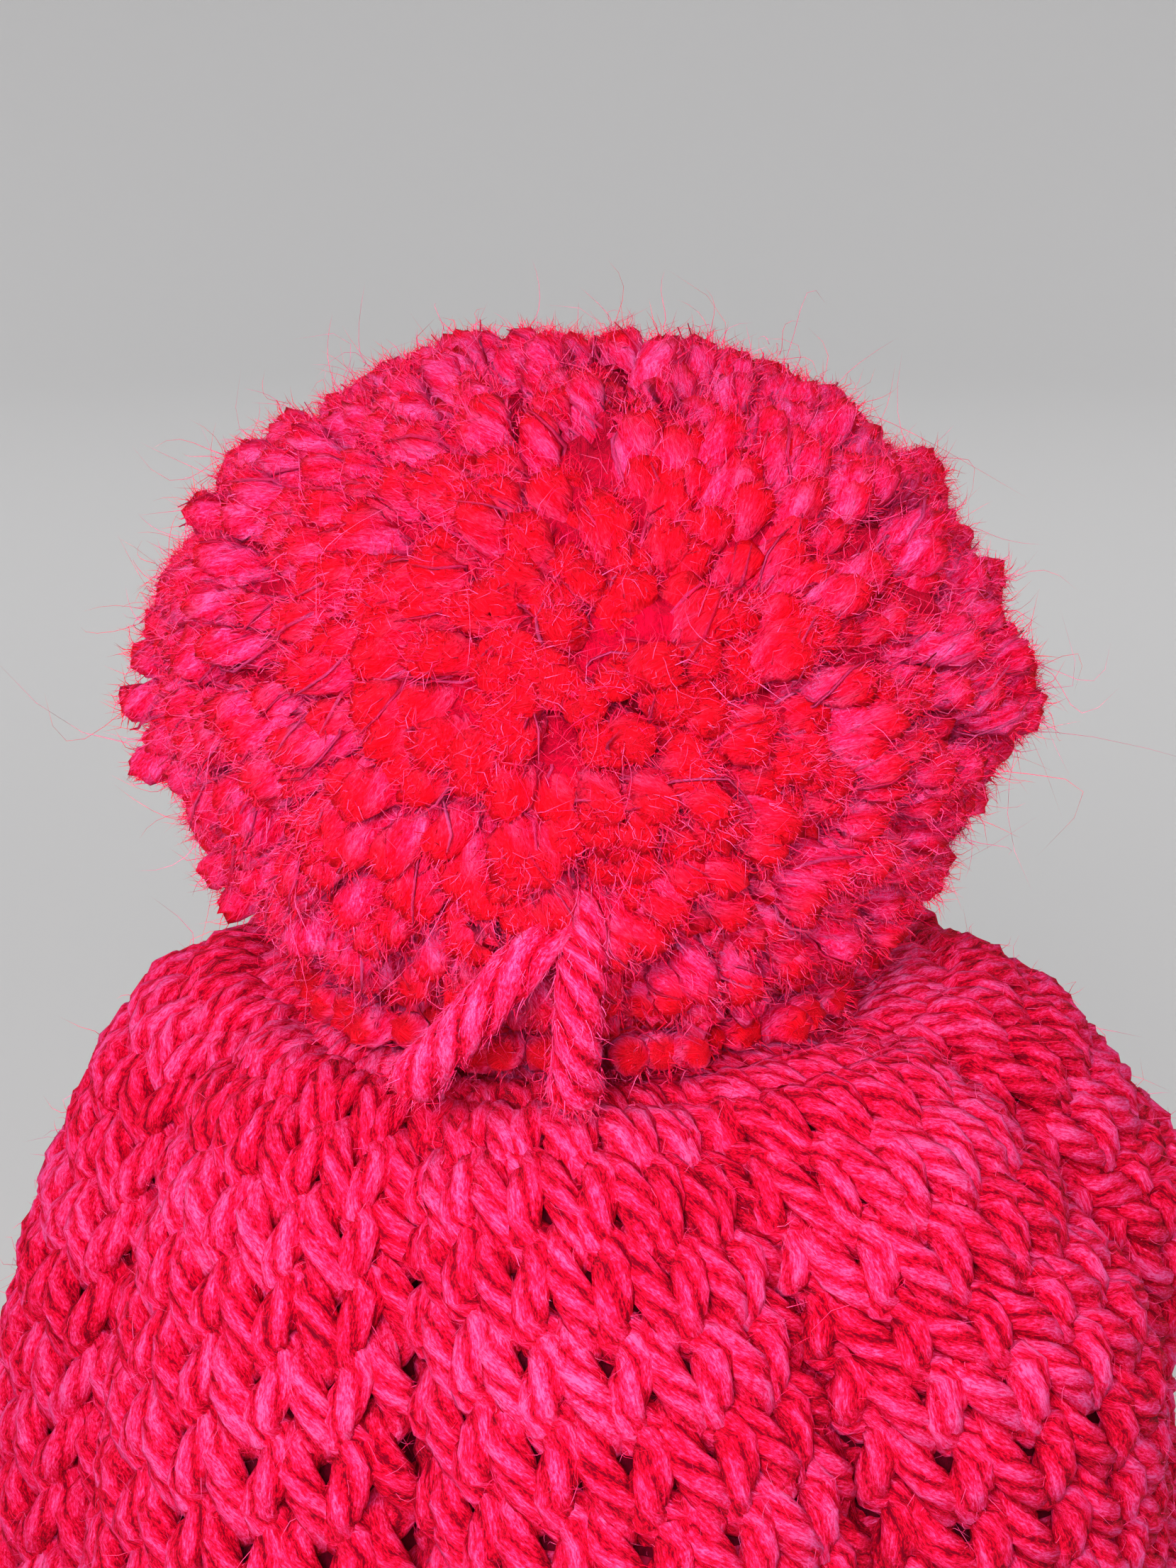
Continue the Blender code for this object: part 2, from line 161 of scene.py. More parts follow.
def surface(wale, down):
    """Fabric's middle surface: wales round the hat, mm down the fabric. Returns metres."""
    wale, down = np.broadcast_arrays(np.asarray(wale, float), np.asarray(down, float))
    radius = np.interp(down, LINE_S, LINE[:, 0])
    z = np.interp(down, LINE_S, LINE[:, 1])
    valley = np.interp(down, LINE_S, LINE_DEPTH)
    on_crown = down < S_WALL
    gather = np.where(on_crown, np.clip(valley / 8.0, 0, 1.1), 0.0)
    lobe = np.round(wale / PER_LOBE)
    offset = (wale - lobe * PER_LOBE) / (PER_LOBE / 2)   # 0 on the crest, 1 in the valley
    phi = (math.pi / LOBES) * (offset + 0.20 * gather * np.sin(math.pi * offset) / math.pi)
    theta = FRONT + lobe * (2 * math.pi / LOBES) + phi
    theta = theta + 0.0030 * (np.minimum(down, 95.0) - 42.0)     # the wales skew
    depth = valley * (1.30 + 0.25 * bell(z, 150, 22)) * np.abs(offset) ** 2.2
    depth = depth + 5.2 * gather * bell(1 - np.abs(offset), 0, 0.14)    # the crease itself
    # each lobe swells a little differently
    swell = 0.54 * np.sin(3.1 * lobe + 1.3) * gather * (1 - offset * offset)
    plus_x = np.maximum(0, np.cos(theta)) ** 1.5 * on_crown
    lean = LEAN * plus_x * bell(z, LEAN_Z, LEAN_W)
    drop = SLOPE * plus_x * bell(radius, SLOPE_R, SLOPE_W) * np.clip((z - 174) / 8, 0, 1)
    top = np.clip((z - 184) / 10, 0, 1) * on_crown
    # slow unevenness of hand knitting
    wobble = ((0.7 * np.sin(2 * theta + down * 0.045 + 0.7)
               + 0.5 * np.sin(5 * theta - down * 0.06 + 2.1))
              * np.clip((down - 40) / 60, 0, 1) * on_crown)
    radius = radius - depth * (1 - 0.35 * top) + lean + swell + wobble
    z = z - drop - depth * 0.42 * top
    return np.stack([radius * np.cos(theta), radius * np.sin(theta), z], -1) * MM


def surface_frame(wale, down):
    """Points of the surface, its normals and the width of a wale there."""
    point = surface(wale, down)
    around = surface(wale + 0.06, down) - surface(wale - 0.06, down)
    along = surface(wale, down + 0.5) - surface(wale, down - 0.5)
    return point, unit(np.cross(along, around)), np.linalg.norm(around, axis=-1) / 0.12


# ------------------------------------------------------------------ meshes
def add_object(name, data, material=None):
    obj = bpy.data.objects.new(name, data)
    bpy.context.scene.collection.objects.link(obj)
    if material:
        data.materials.append(material)
    return obj


def yarn_attributes(mesh, crest, tip, tint, fib):
    """What the yarn shader reads; a single number is given to every vertex."""
    for key, value in (("crest", crest), ("tip", tip), ("tint", tint)):
        attr = mesh.attributes.new(key, "FLOAT", "POINT")
        attr.data.foreach_set("value", np.full(len(mesh.vertices), value, np.float32))
    attr = mesh.attributes.new("fib", "FLOAT_VECTOR", "POINT")
    attr.data.foreach_set("vector", fib.astype(np.float32).reshape(-1))


def cross_axes(tan, ref=np.array([0.36, 0.48, 0.80])):
    """Two directions square to each tangent."""
    side = unit(np.cross(tan, ref))
    return side, np.cross(tan, side)


def turned(side, up, ang):
    return np.cos(ang)[..., None] * side + np.sin(ang)[..., None] * up


class Tubes:
    """Collects round, lobed or tapered tubes as one mesh with yarn attributes and its own UVs."""

    def __init__(self):
        self.verts, self.quads, self.tris = [], [], []
        self.crest, self.tip, self.tint, self.fib = [], [], [], []
        self.quad_uvs, self.tri_uvs = [], []            # rows of (cell, u, v)
        self.total = 0
        self.cells = 0

    def store(self, verts, crest, tip, tint, fib):
        self.verts.append(verts.reshape(-1, 3))
        self.crest.append(crest.reshape(-1))
        self.tip.append(tip.reshape(-1))
        self.tint.append(tint.reshape(-1))
        self.fib.append(fib.reshape(-1, 3))
        self.total += verts.size // 3

    def add(self, mid, rad, ref, sides, profile=None, twist=0.0, closed=False, tip=0.0,
            tint=0.0, seg=None, phase=0.0, rough=0.0, crest=None, shade=None, painted_shade_factor=None,
            soft=None, ragged=None):
        """mid (count, steps, 3) and rad (count, steps) in metres; ref: directions off the
        tangent. The other arrays broadcast to (count, steps). Returns the rings' vertices."""
        count, steps, _ = mid.shape
        shape = (count, steps, sides)
        shift = np.zeros(count, int)
        if closed:                      # a whole number of sides of twist, so the ends meet
            after = np.roll(mid, -1, 1)
            tan = unit(after - np.roll(mid, 1, 1))
            step = np.linalg.norm(after - mid, axis=2)
            along = np.concatenate([np.zeros((count, 1)), np.cumsum(step, 1)[:, :-1]], 1)
            length = step.sum(1, keepdims=True)
            turns = np.round(twist * length / (2 * math.pi / sides))
            shift = turns.astype(int)[:, 0]
            twist = turns * (2 * math.pi / sides) / length
        else:
            tan = unit(np.gradient(mid, axis=1))
            along = run_length(mid)
        side, up = cross_axes(tan, ref)
        k = np.arange(sides)
        spin = (twist * along)[:, :, None]
        ang = 2 * math.pi * k / sides + spin + np.broadcast_to(phase, shape[:2])[:, :, None]
        profile = np.ones(sides) if profile is None else profile
        if soft is None:
            ring = rad[:, :, None] * profile
        else:                           # the plies' grooves fill out where soft is 1
            flat = profile / (1 - 0.75 * (1 - profile / profile.max()))
            soft = soft[:, :, None]
            ring = rad[:, :, None] * (profile * (1 - soft) + 0.96 * flat * soft)
        if rough:
            ring = ring * (1 + RNG.normal(0, rough, shape))
        centre = mid[:, :, None, :]
        verts = centre + ring[..., None] * turned(side[:, :, None], up[:, :, None], ang)
        if ragged is not None:          # cut ends are uneven along the strand
            jitter = RNG.normal(0, 1, shape) * ragged[:, :, None]
            verts = verts + tan[:, :, None, :] * jitter[..., None]
        # painted highlight on the ply crests and painted shade in the grooves, taken from the ply
        # profile unless a level is given
        if crest is None:
            span = profile.max() - profile.min()
            crest = (profile - profile.min()) / (span + 1e-9) if span > 0 else np.ones(sides)
        else:
            crest = crest[:, :, None]
        crest = np.broadcast_to(crest, shape)
        # painted shade: yarn faces looking along the cloth, or at a neighbouring stitch, are darkened
        if shade is not None:           # faces looking along the cloth, or at a neighbour
            facing = np.abs((unit(verts - centre) * shade[:, :, None, :]).sum(-1))
            facing = np.clip((facing - 0.10) / 0.70, 0, 1)
            crest = crest * (0.30 + 0.70 * facing * facing * (3 - 2 * facing))
        # painted shade: a factor that darkens the colour level
        if painted_shade_factor is not None:
            crest = crest * painted_shade_factor[:, :, None]
        tip = np.broadcast_to(tip, shape[:2]).astype(float)
        tint = np.broadcast_to(tint, shape[:2]).astype(float)
        lagging = ang - spin * 0.75
        run = (along / MM)[:, :, None] + (np.arange(count) * 37.7)[:, None, None]
        fib = np.stack([np.cos(lagging), np.sin(lagging), np.broadcast_to(run, shape)], -1)

        index = self.total + np.arange(count * steps * sides).reshape(shape)
        low, high = index, np.roll(index, -1, 1)
        if closed:
            for i in range(count):
                if shift[i]:
                    high[i, -1] = np.roll(index[i, 0], -shift[i])
        else:
            low, high = index[:, :-1], high[:, :-1]
        # the ring order runs from side towards up, so this winding faces out
        quads = np.stack([low, np.roll(low, -1, 2), np.roll(high, -1, 2), high], -1)
        self.quads.append(quads.reshape(-1, 4))
        rows = low.shape[1]
        seg = seg or rows
        strips = math.ceil(rows / seg)
        row = np.arange(rows)
        cell = self.cells + np.arange(count)[:, None] * strips + row // seg
        cell = np.broadcast_to(cell[:, :, None], low.shape)
        u_lo = np.broadcast_to((row % seg / seg)[:, None], low.shape)
        v_lo = np.broadcast_to(k / sides, low.shape)
        u_hi, v_hi = u_lo + 1 / seg, v_lo + 1 / sides
        uvs = [np.stack(part, -1) for part in
               ([cell] * 4, [u_lo, u_lo, u_hi, u_hi], [v_lo, v_hi, v_hi, v_lo])]
        self.quad_uvs.append(np.stack(uvs, -1).reshape(-1, 3))
        self.store(verts, crest, np.broadcast_to(tip[:, :, None], shape),
                   np.broadcast_to(tint[:, :, None], shape), fib)
        if not closed:
            for end, row in ((0, 0), (1, -1)):
                apex = self.total + np.arange(count)
                self.store(mid[:, row] + tan[:, row] * (rad[:, row] * (0.35 if end else -0.35))[:, None],
                           crest[:, row].mean(1), tip[:, row], tint[:, row], fib[:, row, 0])
                ring = index[:, row]
                after = np.roll(ring, -1, 1)
                apex = np.broadcast_to(apex[:, None], ring.shape)
                tris = np.stack([ring, after, apex] if end else [after, ring, apex], -1)
                self.tris.append(tris.reshape(-1, 3))
                cell = self.cells + np.arange(count) * strips + (strips - 1 if end else 0)
                v_tri = np.stack([k / sides, (k + 1) / sides, (k + 0.5) / sides], -1)
                tri_shape = (count, sides, 3)
                uvs = [np.broadcast_to(cell[:, None, None], tri_shape),
                       np.full(tri_shape, 0.995 if end else 0.005),
                       np.broadcast_to(v_tri, tri_shape)]
                self.tri_uvs.append(np.stack(uvs, -1).reshape(-1, 3))
        self.cells += count * strips
        return verts

    def hairs(self, mid, rad, ref, tip, tint, crest):
        """Three-sided fibres tapering to a point. mid (count, steps, 3); rad (count, steps);
        tip, tint and the painted light and tone value (count,)."""
        count, steps, _ = mid.shape
        side, up = cross_axes(unit(np.gradient(mid, axis=1)), ref)
        ang = 2 * math.pi * np.arange(3) / 3
        ring = (mid[:, :-1, None, :] + rad[:, :-1, None, None]
                * turned(side[:, :-1, None, :], up[:, :-1, None, :], ang))
        per = 3 * (steps - 1) + 1
        verts = np.concatenate([ring.reshape(count, -1, 3), mid[:, -1:]], 1)
        base = self.total + np.arange(count) * per
        quads, quad_uv, tris, tri_uv = [], [], [], []
        spans = steps - 1
        for j in range(steps - 2):
            lo, hi = j / spans, (j + 1) / spans
            for k in range(3):
                after = (k + 1) % 3
                quads.append([3 * j + k, 3 * j + after, 3 * j + 3 + after, 3 * j + 3 + k])
                quad_uv.append([(lo, k / 3), (lo, (k + 1) / 3), (hi, (k + 1) / 3), (hi, k / 3)])
        last = steps - 2
        for k in range(3):
            tris.append([3 * last + k, 3 * last + (k + 1) % 3, per - 1])
            tri_uv.append([(last / spans, k / 3), (last / spans, (k + 1) / 3),
                           (1.0, (k + 0.5) / 3)])
        tris.append([2, 1, 0])
        tri_uv.append([(0.0, 1.0), (0.0, 0.66), (0.004, 0.33)])
        self.quads.append((base[:, None, None] + np.array(quads)).reshape(-1, 4))
        self.tris.append((base[:, None, None] + np.array(tris)).reshape(-1, 3))
        cell = (self.cells + np.arange(count))[:, None, None, None]
        for source, store in ((quad_uv, self.quad_uvs), (tri_uv, self.tri_uvs)):
            source = np.array(source, float)
            shape = (count,) + source.shape[:2]
            uvs = np.concatenate([np.broadcast_to(cell, shape + (1,)),
                                  np.broadcast_to(source, shape + (2,))], -1)
            store.append(uvs.reshape(-1, 3))
        self.store(verts, *(np.repeat(np.asarray(value, float), per) for value in (crest, tip, tint)),
                   np.repeat(RNG.uniform(0, 50, (count, 3)), per, axis=0))
        self.cells += count

    def build(self, name, material):
        verts = np.concatenate(self.verts).astype(np.float32)
        quads = np.concatenate(self.quads)
        tris = np.concatenate(self.tris) if self.tris else np.zeros((0, 3), int)
        loops = np.concatenate([quads.reshape(-1), tris.reshape(-1)]).astype(np.int32)
        sizes = np.repeat([4, 3], [len(quads), len(tris)]).astype(np.int32)
        starts = np.concatenate([[0], np.cumsum(sizes)[:-1]]).astype(np.int32)
        mesh = bpy.data.meshes.new(name)
        mesh.vertices.add(len(verts))
        mesh.vertices.foreach_set("co", verts.reshape(-1))
        mesh.loops.add(len(loops))
        mesh.loops.foreach_set("vertex_index", loops)
        mesh.polygons.add(len(sizes))
        mesh.polygons.foreach_set("loop_start", starts)
        mesh.polygons.foreach_set("loop_total", sizes)
        mesh.update(calc_edges=True)
        mesh.shade_smooth()
        yarn_attributes(mesh, *(np.concatenate(part) for part in
                                (self.crest, self.tip, self.tint, self.fib)))
        # each cell gets its own square of the UV map, with a margin
        uvs = np.concatenate(self.quad_uvs + self.tri_uvs)
        cols = max(1, math.ceil(math.sqrt(self.cells)))
        rows = max(1, math.ceil(self.cells / cols))
        cell = uvs[:, 0].astype(int)
        flat = np.stack([((cell % cols) + 0.04 + 0.92 * uvs[:, 1]) / cols,
                         ((cell // cols) + 0.04 + 0.92 * uvs[:, 2]) / rows], 1)
        layer = mesh.uv_layers.new(name="OFBake")
        layer.data.foreach_set("uv", flat.astype(np.float32).reshape(-1))
        return add_object(name, mesh, material)


def ply_profile(sides, depth):
    """Cross-section of four plies with grooves of the given depth."""
    ang = 2 * math.pi * np.arange(sides) / sides
    return (1 - depth) + depth * np.abs(np.cos(2 * ang)) ** 0.8


# ------------------------------------------------------------------ materials
TIP = (0.99, 0.0015, 0.010)             # cut ends
TIP_DARK = (TIP[0] * 0.66, TIP[1], TIP[2] * 0.5)
TIP_PALE = (1.0, 0.026, 0.065)
SLOW_GAIN, TINT_GAIN = 0.35, 0.22       # how far broad drift and strand tint move the colour


def yarn_material(name, stops, base=0.14, lift=0.62, grain=2.0, patch=0.75, bump=0.8,
                  sheen=0.04, tip_mix=0.85):
    """stops: (position, rgb) from deep to pale. base sets the level; lift, grain and patch are
    the pull of the painted light and tone value (painted highlight on ply crests, painted shade
    in grooves, on yarn sides and in creases), fine flecks and broad patches; tip_mix that of cut ends."""
    mat = bpy.data.materials.new(name)
    mat.use_nodes = True
    tree = mat.node_tree
    shader = tree.nodes["Principled BSDF"]
    link = tree.links.new

    def node(kind, **settings):
        made = tree.nodes.new(kind)
        for key, value in settings.items():
            setattr(made, key, value)
        return made

    def multiply_add(value, gain, offset, clamp=False):
        made = node("ShaderNodeMath", operation="MULTIPLY_ADD", use_clamp=clamp)
        link(value, made.inputs[0])
        made.inputs[1].default_value = gain
        if isinstance(offset, (int, float)):
            made.inputs[2].default_value = offset
        else:
            link(offset, made.inputs[2])
        return made.outputs[0]

    def noise(stretch, detail, rough):
        mapping = node("ShaderNodeMapping")
        mapping.inputs["Scale"].default_value = stretch
        link(fib.outputs["Vector"], mapping.inputs["Vector"])
        made = node("ShaderNodeTexNoise")
        made.inputs["Scale"].default_value = 1.0
        made.inputs["Detail"].default_value = detail
        made.inputs["Roughness"].default_value = rough
        link(mapping.outputs["Vector"], made.inputs["Vector"])
        return made.outputs["Fac"]

    def colour_ramp(fac, stops):
        made = node("ShaderNodeValToRGB")
        elements = made.color_ramp.elements
        for element, (position, _) in zip(elements, (stops[0], stops[-1])):
            element.position = position
        elements[0].color = (*stops[0][1], 1.0)
        elements[1].color = (*stops[-1][1], 1.0)
        for position, colour in stops[1:-1]:
            elements.new(position).color = (*colour, 1.0)
        link(fac, made.inputs["Fac"])
        return made.outputs["Color"]

    crest, tip, tint, fib = [node("ShaderNodeAttribute", attribute_name=key)
                             for key in ("crest", "tip", "tint", "fib")]
    # crimped fibres: fine flecks drawn out along the yarn, over broader uneven patches
    fine = noise(stretch=(9.0, 9.0, 2.1), detail=4.0, rough=0.75)
    broad = noise(stretch=(2.2, 2.2, 0.45), detail=2.0, rough=0.5)
    geometry = node("ShaderNodeNewGeometry")
    slow = node("ShaderNodeTexNoise")
    slow.inputs["Scale"].default_value = 95.0
    slow.inputs["Detail"].default_value = 2.0
    link(geometry.outputs["Position"], slow.inputs["Vector"])

    level = base - 0.5 * grain - 0.5 * patch - 0.5 * SLOW_GAIN - 0.5 * TINT_GAIN
    # the painted light and tone value lifts the colour level: painted highlight on ply crests, painted
    # shade in grooves, on yarn sides, in creases and deep in the pom
    level = multiply_add(crest.outputs["Fac"], lift, level)
    level = multiply_add(fine, grain, level)
    level = multiply_add(broad, patch, level)
    level = multiply_add(slow.outputs["Fac"], SLOW_GAIN, level)
    level = multiply_add(tint.outputs["Fac"], TINT_GAIN, level, clamp=True)
    yarn_colour = colour_ramp(level, stops)

    # cut ends are painted saturated red, the deep end-on shade seen into the fibres, with only a few
    # pale fibres
    tip_amount = multiply_add(tip.outputs["Fac"], tip_mix, 0.0, clamp=True)
    tip_colour = colour_ramp(fine, [(0.36, TIP_DARK), (0.54, TIP), (0.74, TIP_PALE)])
    mix = node("ShaderNodeMix", data_type="RGBA")
    link(tip_amount, mix.inputs[0])
    link(yarn_colour, mix.inputs[6])
    link(tip_colour, mix.inputs[7])
    link(mix.outputs[2], shader.inputs["Base Color"])

    rough = node("ShaderNodeMapRange")
    rough.inputs["To Min"].default_value = 0.60
    rough.inputs["To Max"].default_value = 0.90
    link(fine, rough.inputs["Value"])
    link(rough.outputs["Result"], shader.inputs["Roughness"])
    if bump:
        relief = node("ShaderNodeBump")
        relief.inputs["Strength"].default_value = bump
        relief.inputs["Distance"].default_value = 0.0009
        link(fine, relief.inputs["Height"])
        link(relief.outputs["Normal"], shader.inputs["Normal"])
    for key, value in (("Specular IOR Level", 0.08), ("Specular Tint", (1.0, 0.15, 0.35, 1.0)),
                       ("Sheen Weight", sheen), ("Sheen Roughness", 0.5),
                       ("Sheen Tint", (1.0, 0.20, 0.42, 1.0))):
        shader.inputs[key].default_value = value
    return mat


# low colour levels come out dark and high ones pale: painted shade in ply grooves, on yarn sides and in
# creases, painted highlight on ply crests
MAROON = (0.26, 0.000, 0.012)
CRIMSON = (0.62, 0.001, 0.016)
RED = (0.86, 0.002, 0.030)
HOT = (0.96, 0.010, 0.096)
PINK = (1.00, 0.044, 0.225)
LIGHT = (1.00, 0.125, 0.385)
HAT_YARN = yarn_material(
    "hat_yarn", [(0.0, MAROON), (0.14, CRIMSON), (0.34, RED), (0.53, HOT), (0.75, PINK), (1.0, LIGHT)],
    base=0.15, lift=0.56, grain=2.3, patch=0.95)
POM_YARN = yarn_material(
    "pom_yarn", [(0.0, (0.60, 0.0, 0.018)), (0.15, (0.84, 0.001, 0.028)),
                 (0.34, (0.97, 0.004, 0.062)), (0.54, (1.0, 0.017, 0.138)),
                 (0.76, (1.0, 0.046, 0.245)), (1.0, (1.0, 0.120, 0.400))],
    base=0.28, lift=0.56, grain=2.4, tip_mix=0.96)
TIE_YARN = yarn_material(
    "tie_yarn", [(0.0, MAROON), (0.22, CRIMSON), (0.45, RED), (0.70, HOT), (1.0, PINK)])
LOOSE_FIBRE = yarn_material(
    "loose_fibre", [(0.0, (0.90, 0.003, 0.045)), (0.42, (1.0, 0.022, 0.155)),
                    (1.0, (1.0, 0.140, 0.430))],
    base=0.08, lift=0.80, grain=0.4, patch=0.3, bump=0.0, sheen=0.0, tip_mix=0.95)
# painted shade: near-black colours for the sheet that stands for the shade behind the gaps
SHADE_SHEET_YARN = yarn_material(
    "painted_shade_fibre", [(0.0, (0.035, 0.0, 0.003)), (1.0, (0.20, 0.0, 0.012))],
    base=0.35, lift=0.3, grain=1.6)
PACKED_YARN = yarn_material(
    "packed_yarn", [(0.0, (0.42, 0.0, 0.018)), (1.0, (0.92, 0.003, 0.045))],
    base=0.30, lift=0.3)

# ------------------------------------------------------------------ stitches
YARN = 2.14 * MM                        # radius of the knitted yarn
SAMPLES = 20                            # points along one stitch
YARN_SIDES = 16
TWIST = -2 * math.pi / (15.0 * MM)      # four plies, one turn in 15 mm
PLIES = ply_profile(YARN_SIDES, 0.17)

S_START = 9.0                           # mm down the fabric to the first course
N_COURSES = int(round((S_EDGE - S_START) / 7.85))      # courses about 7.85 mm apart
COURSE = (S_EDGE - S_START) / N_COURSES
STITCH_ANG = 2 * math.pi * np.arange(WALES * SAMPLES) / SAMPLES     # a turn for each stitch
WALE_AT = STITCH_ANG / (2 * math.pi)
GROUP = 5                               # courses in one crown piece


def course_down(course):
    return S_START + course * COURSE


FIRST_FOLD = next(j for j in range(N_COURSES + 1) if course_down(j) > S_WALL - 3.0)
FIRST_CUFF = next(j for j in range(N_COURSES + 1) if course_down(j) > S_CUFF + 2.0)


def uneven(amount):
    """Periodic smooth random values along one course, one knot for each half wale."""
    knots = RNG.normal(0, amount, WALES * 2)
    place = WALE_AT * 2
    i = np.floor(place).astype(int)
    part = place - i
    part = part * part * (3 - 2 * part)
    return knots[i % (WALES * 2)] * (1 - part) + knots[(i + 1) % (WALES * 2)] * part


def rib_sign(wale, down):
    """+1 for a knit wale, -1 for a purl wale, and how far the ribbing is in force; it covers
    the cuff and the wall inside it."""
    # two knit wales centred on 0 and 1, two purl wales centred on 2 and 3
    from_knit = np.abs(((wale - 0.5 + 2.0) % 4.0) - 2.0)
    sign = np.sin(np.clip((1.0 - from_knit) / 0.22, -1, 1) * math.pi / 2)
    ribbed = np.clip((down - (S_WALL - 56.0)) / 6.0, 0, 1)
    return 1 + (sign - 1) * ribbed, ribbed


def course_path(course):
    """Middle line, radius and fabric normal of one course of stitches."""
    level = course_down(course)
    ang = STITCH_ANG
    half_width = 0.245 + uneven(0.012)
    wale = WALE_AT + half_width * np.sin(2 * ang) + uneven(0.02)
    down = level - (0.715 * COURSE + uneven(0.12)) * np.cos(ang) + uneven(0.16)
    down = down + 0.5 * np.sin(WALE_AT * 2 * math.pi / 9.0 + course)
    down = np.minimum(down, S_EDGE + 5.0)
    sign, ribbed = rib_sign(WALE_AT, level)
    point, normal, pitch = surface_frame(wale, down)
    scale = np.clip(pitch / (7.0 * MM), 0.30, 1.0)
    lift = -1.95 * MM * np.cos(2 * ang) * sign * (0.35 + 0.65 * scale)
    lift = lift + ribbed * 0.81 * MM * sign + uneven(0.10) * MM
    rad = YARN * (0.42 + 0.58 * scale) * (1 + 0.05 * np.sin(ang * 0.37 + course * 1.7)
                                          + 0.03 * np.sin(ang * 1.13 + course))
    return point + normal * lift[:, None], rad, normal


def knit_piece(name, first, stop):
    """One object of several courses; also returns (mid, normal, vertices) of each course."""
    tubes = Tubes()
    courses = []
    for j in range(first, stop):
        mid, rad, normal = course_path(j)
        level = course_down(j)
        # painted shade: stitches darken towards the creases between the lobes
        off_crest = np.abs(WALE_AT - np.round(WALE_AT / PER_LOBE) * PER_LOBE) / (PER_LOBE / 2)
        gather = min(1.0, float(np.interp(level, LINE_S, LINE_DEPTH)) / 8.0) * (level < S_WALL)
        verts = tubes.add(
            mid[None], rad[None], normal[None], YARN_SIDES, PLIES, TWIST, closed=True,
            seg=SAMPLES, rough=0.028, painted_shade_factor=(1 - 0.72 * off_crest ** 6 * gather)[None],
            shade=normal[None], phase=(j * 0.9 + uneven(0.22))[None],
            tint=(0.5 + 0.5 * np.sin(STITCH_ANG * 0.11 + j * 2.3))[None])
        courses.append((mid, normal, verts[0]))
    obj = tubes.build(name, HAT_YARN)
    return obj, courses


def lowest(course):
    return course[0][:, 2].min()


def unroll(obj):
    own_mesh(obj)


crown_courses = []
edges = [*range(0, FIRST_FOLD, GROUP), FIRST_FOLD]
for first, stop in zip(edges[:-1], edges[1:]):
    name = "crown_courses_%02d_%02d" % (first + 1, stop)
    obj, courses = knit_piece(name, first, stop)
    crown_courses += courses
    if min(map(lowest, courses)) < 0.066:   # the wall inside the cuff is parented to no body; its placement is baked into the mesh
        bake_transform(obj)
    else:
        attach(obj, "crown")
    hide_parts("crown_knit")

obj, _ = knit_piece("fold_courses", FIRST_FOLD, FIRST_CUFF)
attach(obj, "brim")
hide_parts("brim_fold")

MID_CUFF = (FIRST_CUFF + N_COURSES + 1) // 2
cuff_courses = []
for name, first, stop in (("cuff_courses_lower", FIRST_CUFF, MID_CUFF),
                          ("cuff_courses_upper", MID_CUFF, N_COURSES)):
    obj, courses = knit_piece(name, first, stop)
    cuff_courses += courses
    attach(obj, "brim")
    unroll(obj)
    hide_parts("cuff_outer")


def painted_shade_sheet():
    """Painted shade: a closed dark sheet inside the fabric, seen only through the gaps between stitches.
    """
    s_low = float(LINE_S[np.nonzero(LINE[:, 1] > 68.0)[0].max()])
    wale, down = np.meshgrid(np.arange(0, WALES, 0.2), np.linspace(S_START - 2.0, s_low, 76))
    mid, normal, _ = surface_frame(wale, down)
    mid = mid - normal * 1.3 * MM
    layers = np.stack([mid + normal * 0.12 * MM, mid - normal * 0.12 * MM])
    index = np.arange(2 * wale.size).reshape(2, *wale.shape)
    after = np.roll(index, -1, 2)
    faces = np.concatenate([np.stack(corners, -1).reshape(-1, 4) for corners in (
        [index[0, :-1], index[0, 1:], after[0, 1:], after[0, :-1]],
        [index[1, :-1], after[1, :-1], after[1, 1:], index[1, 1:]],
        [index[0, 0], after[0, 0], after[1, 0], index[1, 0]],
        [index[0, -1], index[1, -1], after[1, -1], after[0, -1]])])
    mesh = bpy.data.meshes.new("crown_felted_fibre")
    mesh.from_pydata(layers.reshape(-1, 3).tolist(), [], faces.tolist())
    mesh.shade_smooth()
    yarn_attributes(mesh, crest=0.3, tip=0.0, tint=0.3, fib=layers * 500.0)
    obj = add_object("crown_felted_fibre", mesh, SHADE_SHEET_YARN)
    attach(obj, "crown")


painted_shade_sheet()

# ------------------------------------------------------------------ pom directions
N_LONG = 1150
N_FILL = 600                            # shorter strands that show between the others
N_STRANDS = N_LONG + N_FILL
N_TUFTS = 120


def sphere_points(count):
    i = np.arange(count) + 0.5
    polar = np.arccos(1 - 2 * i / count)
    turn = math.pi * (1 + 5 ** 0.5) * i
    return np.stack([np.cos(turn) * np.sin(polar), np.sin(turn) * np.sin(polar),
                     np.cos(polar)], 1)


def spread_out(dirs):
    """Push points apart until they cover the sphere evenly."""
    for _ in range(5):
        cosine = dirs @ dirs.T
        np.fill_diagonal(cosine, -1)
        close = np.where(cosine > 0.985, cosine - 0.985, 0.0)
        push = close.sum(1, keepdims=True) * dirs - close @ dirs
        dirs = unit(dirs + 1.6 * push)
    return dirs


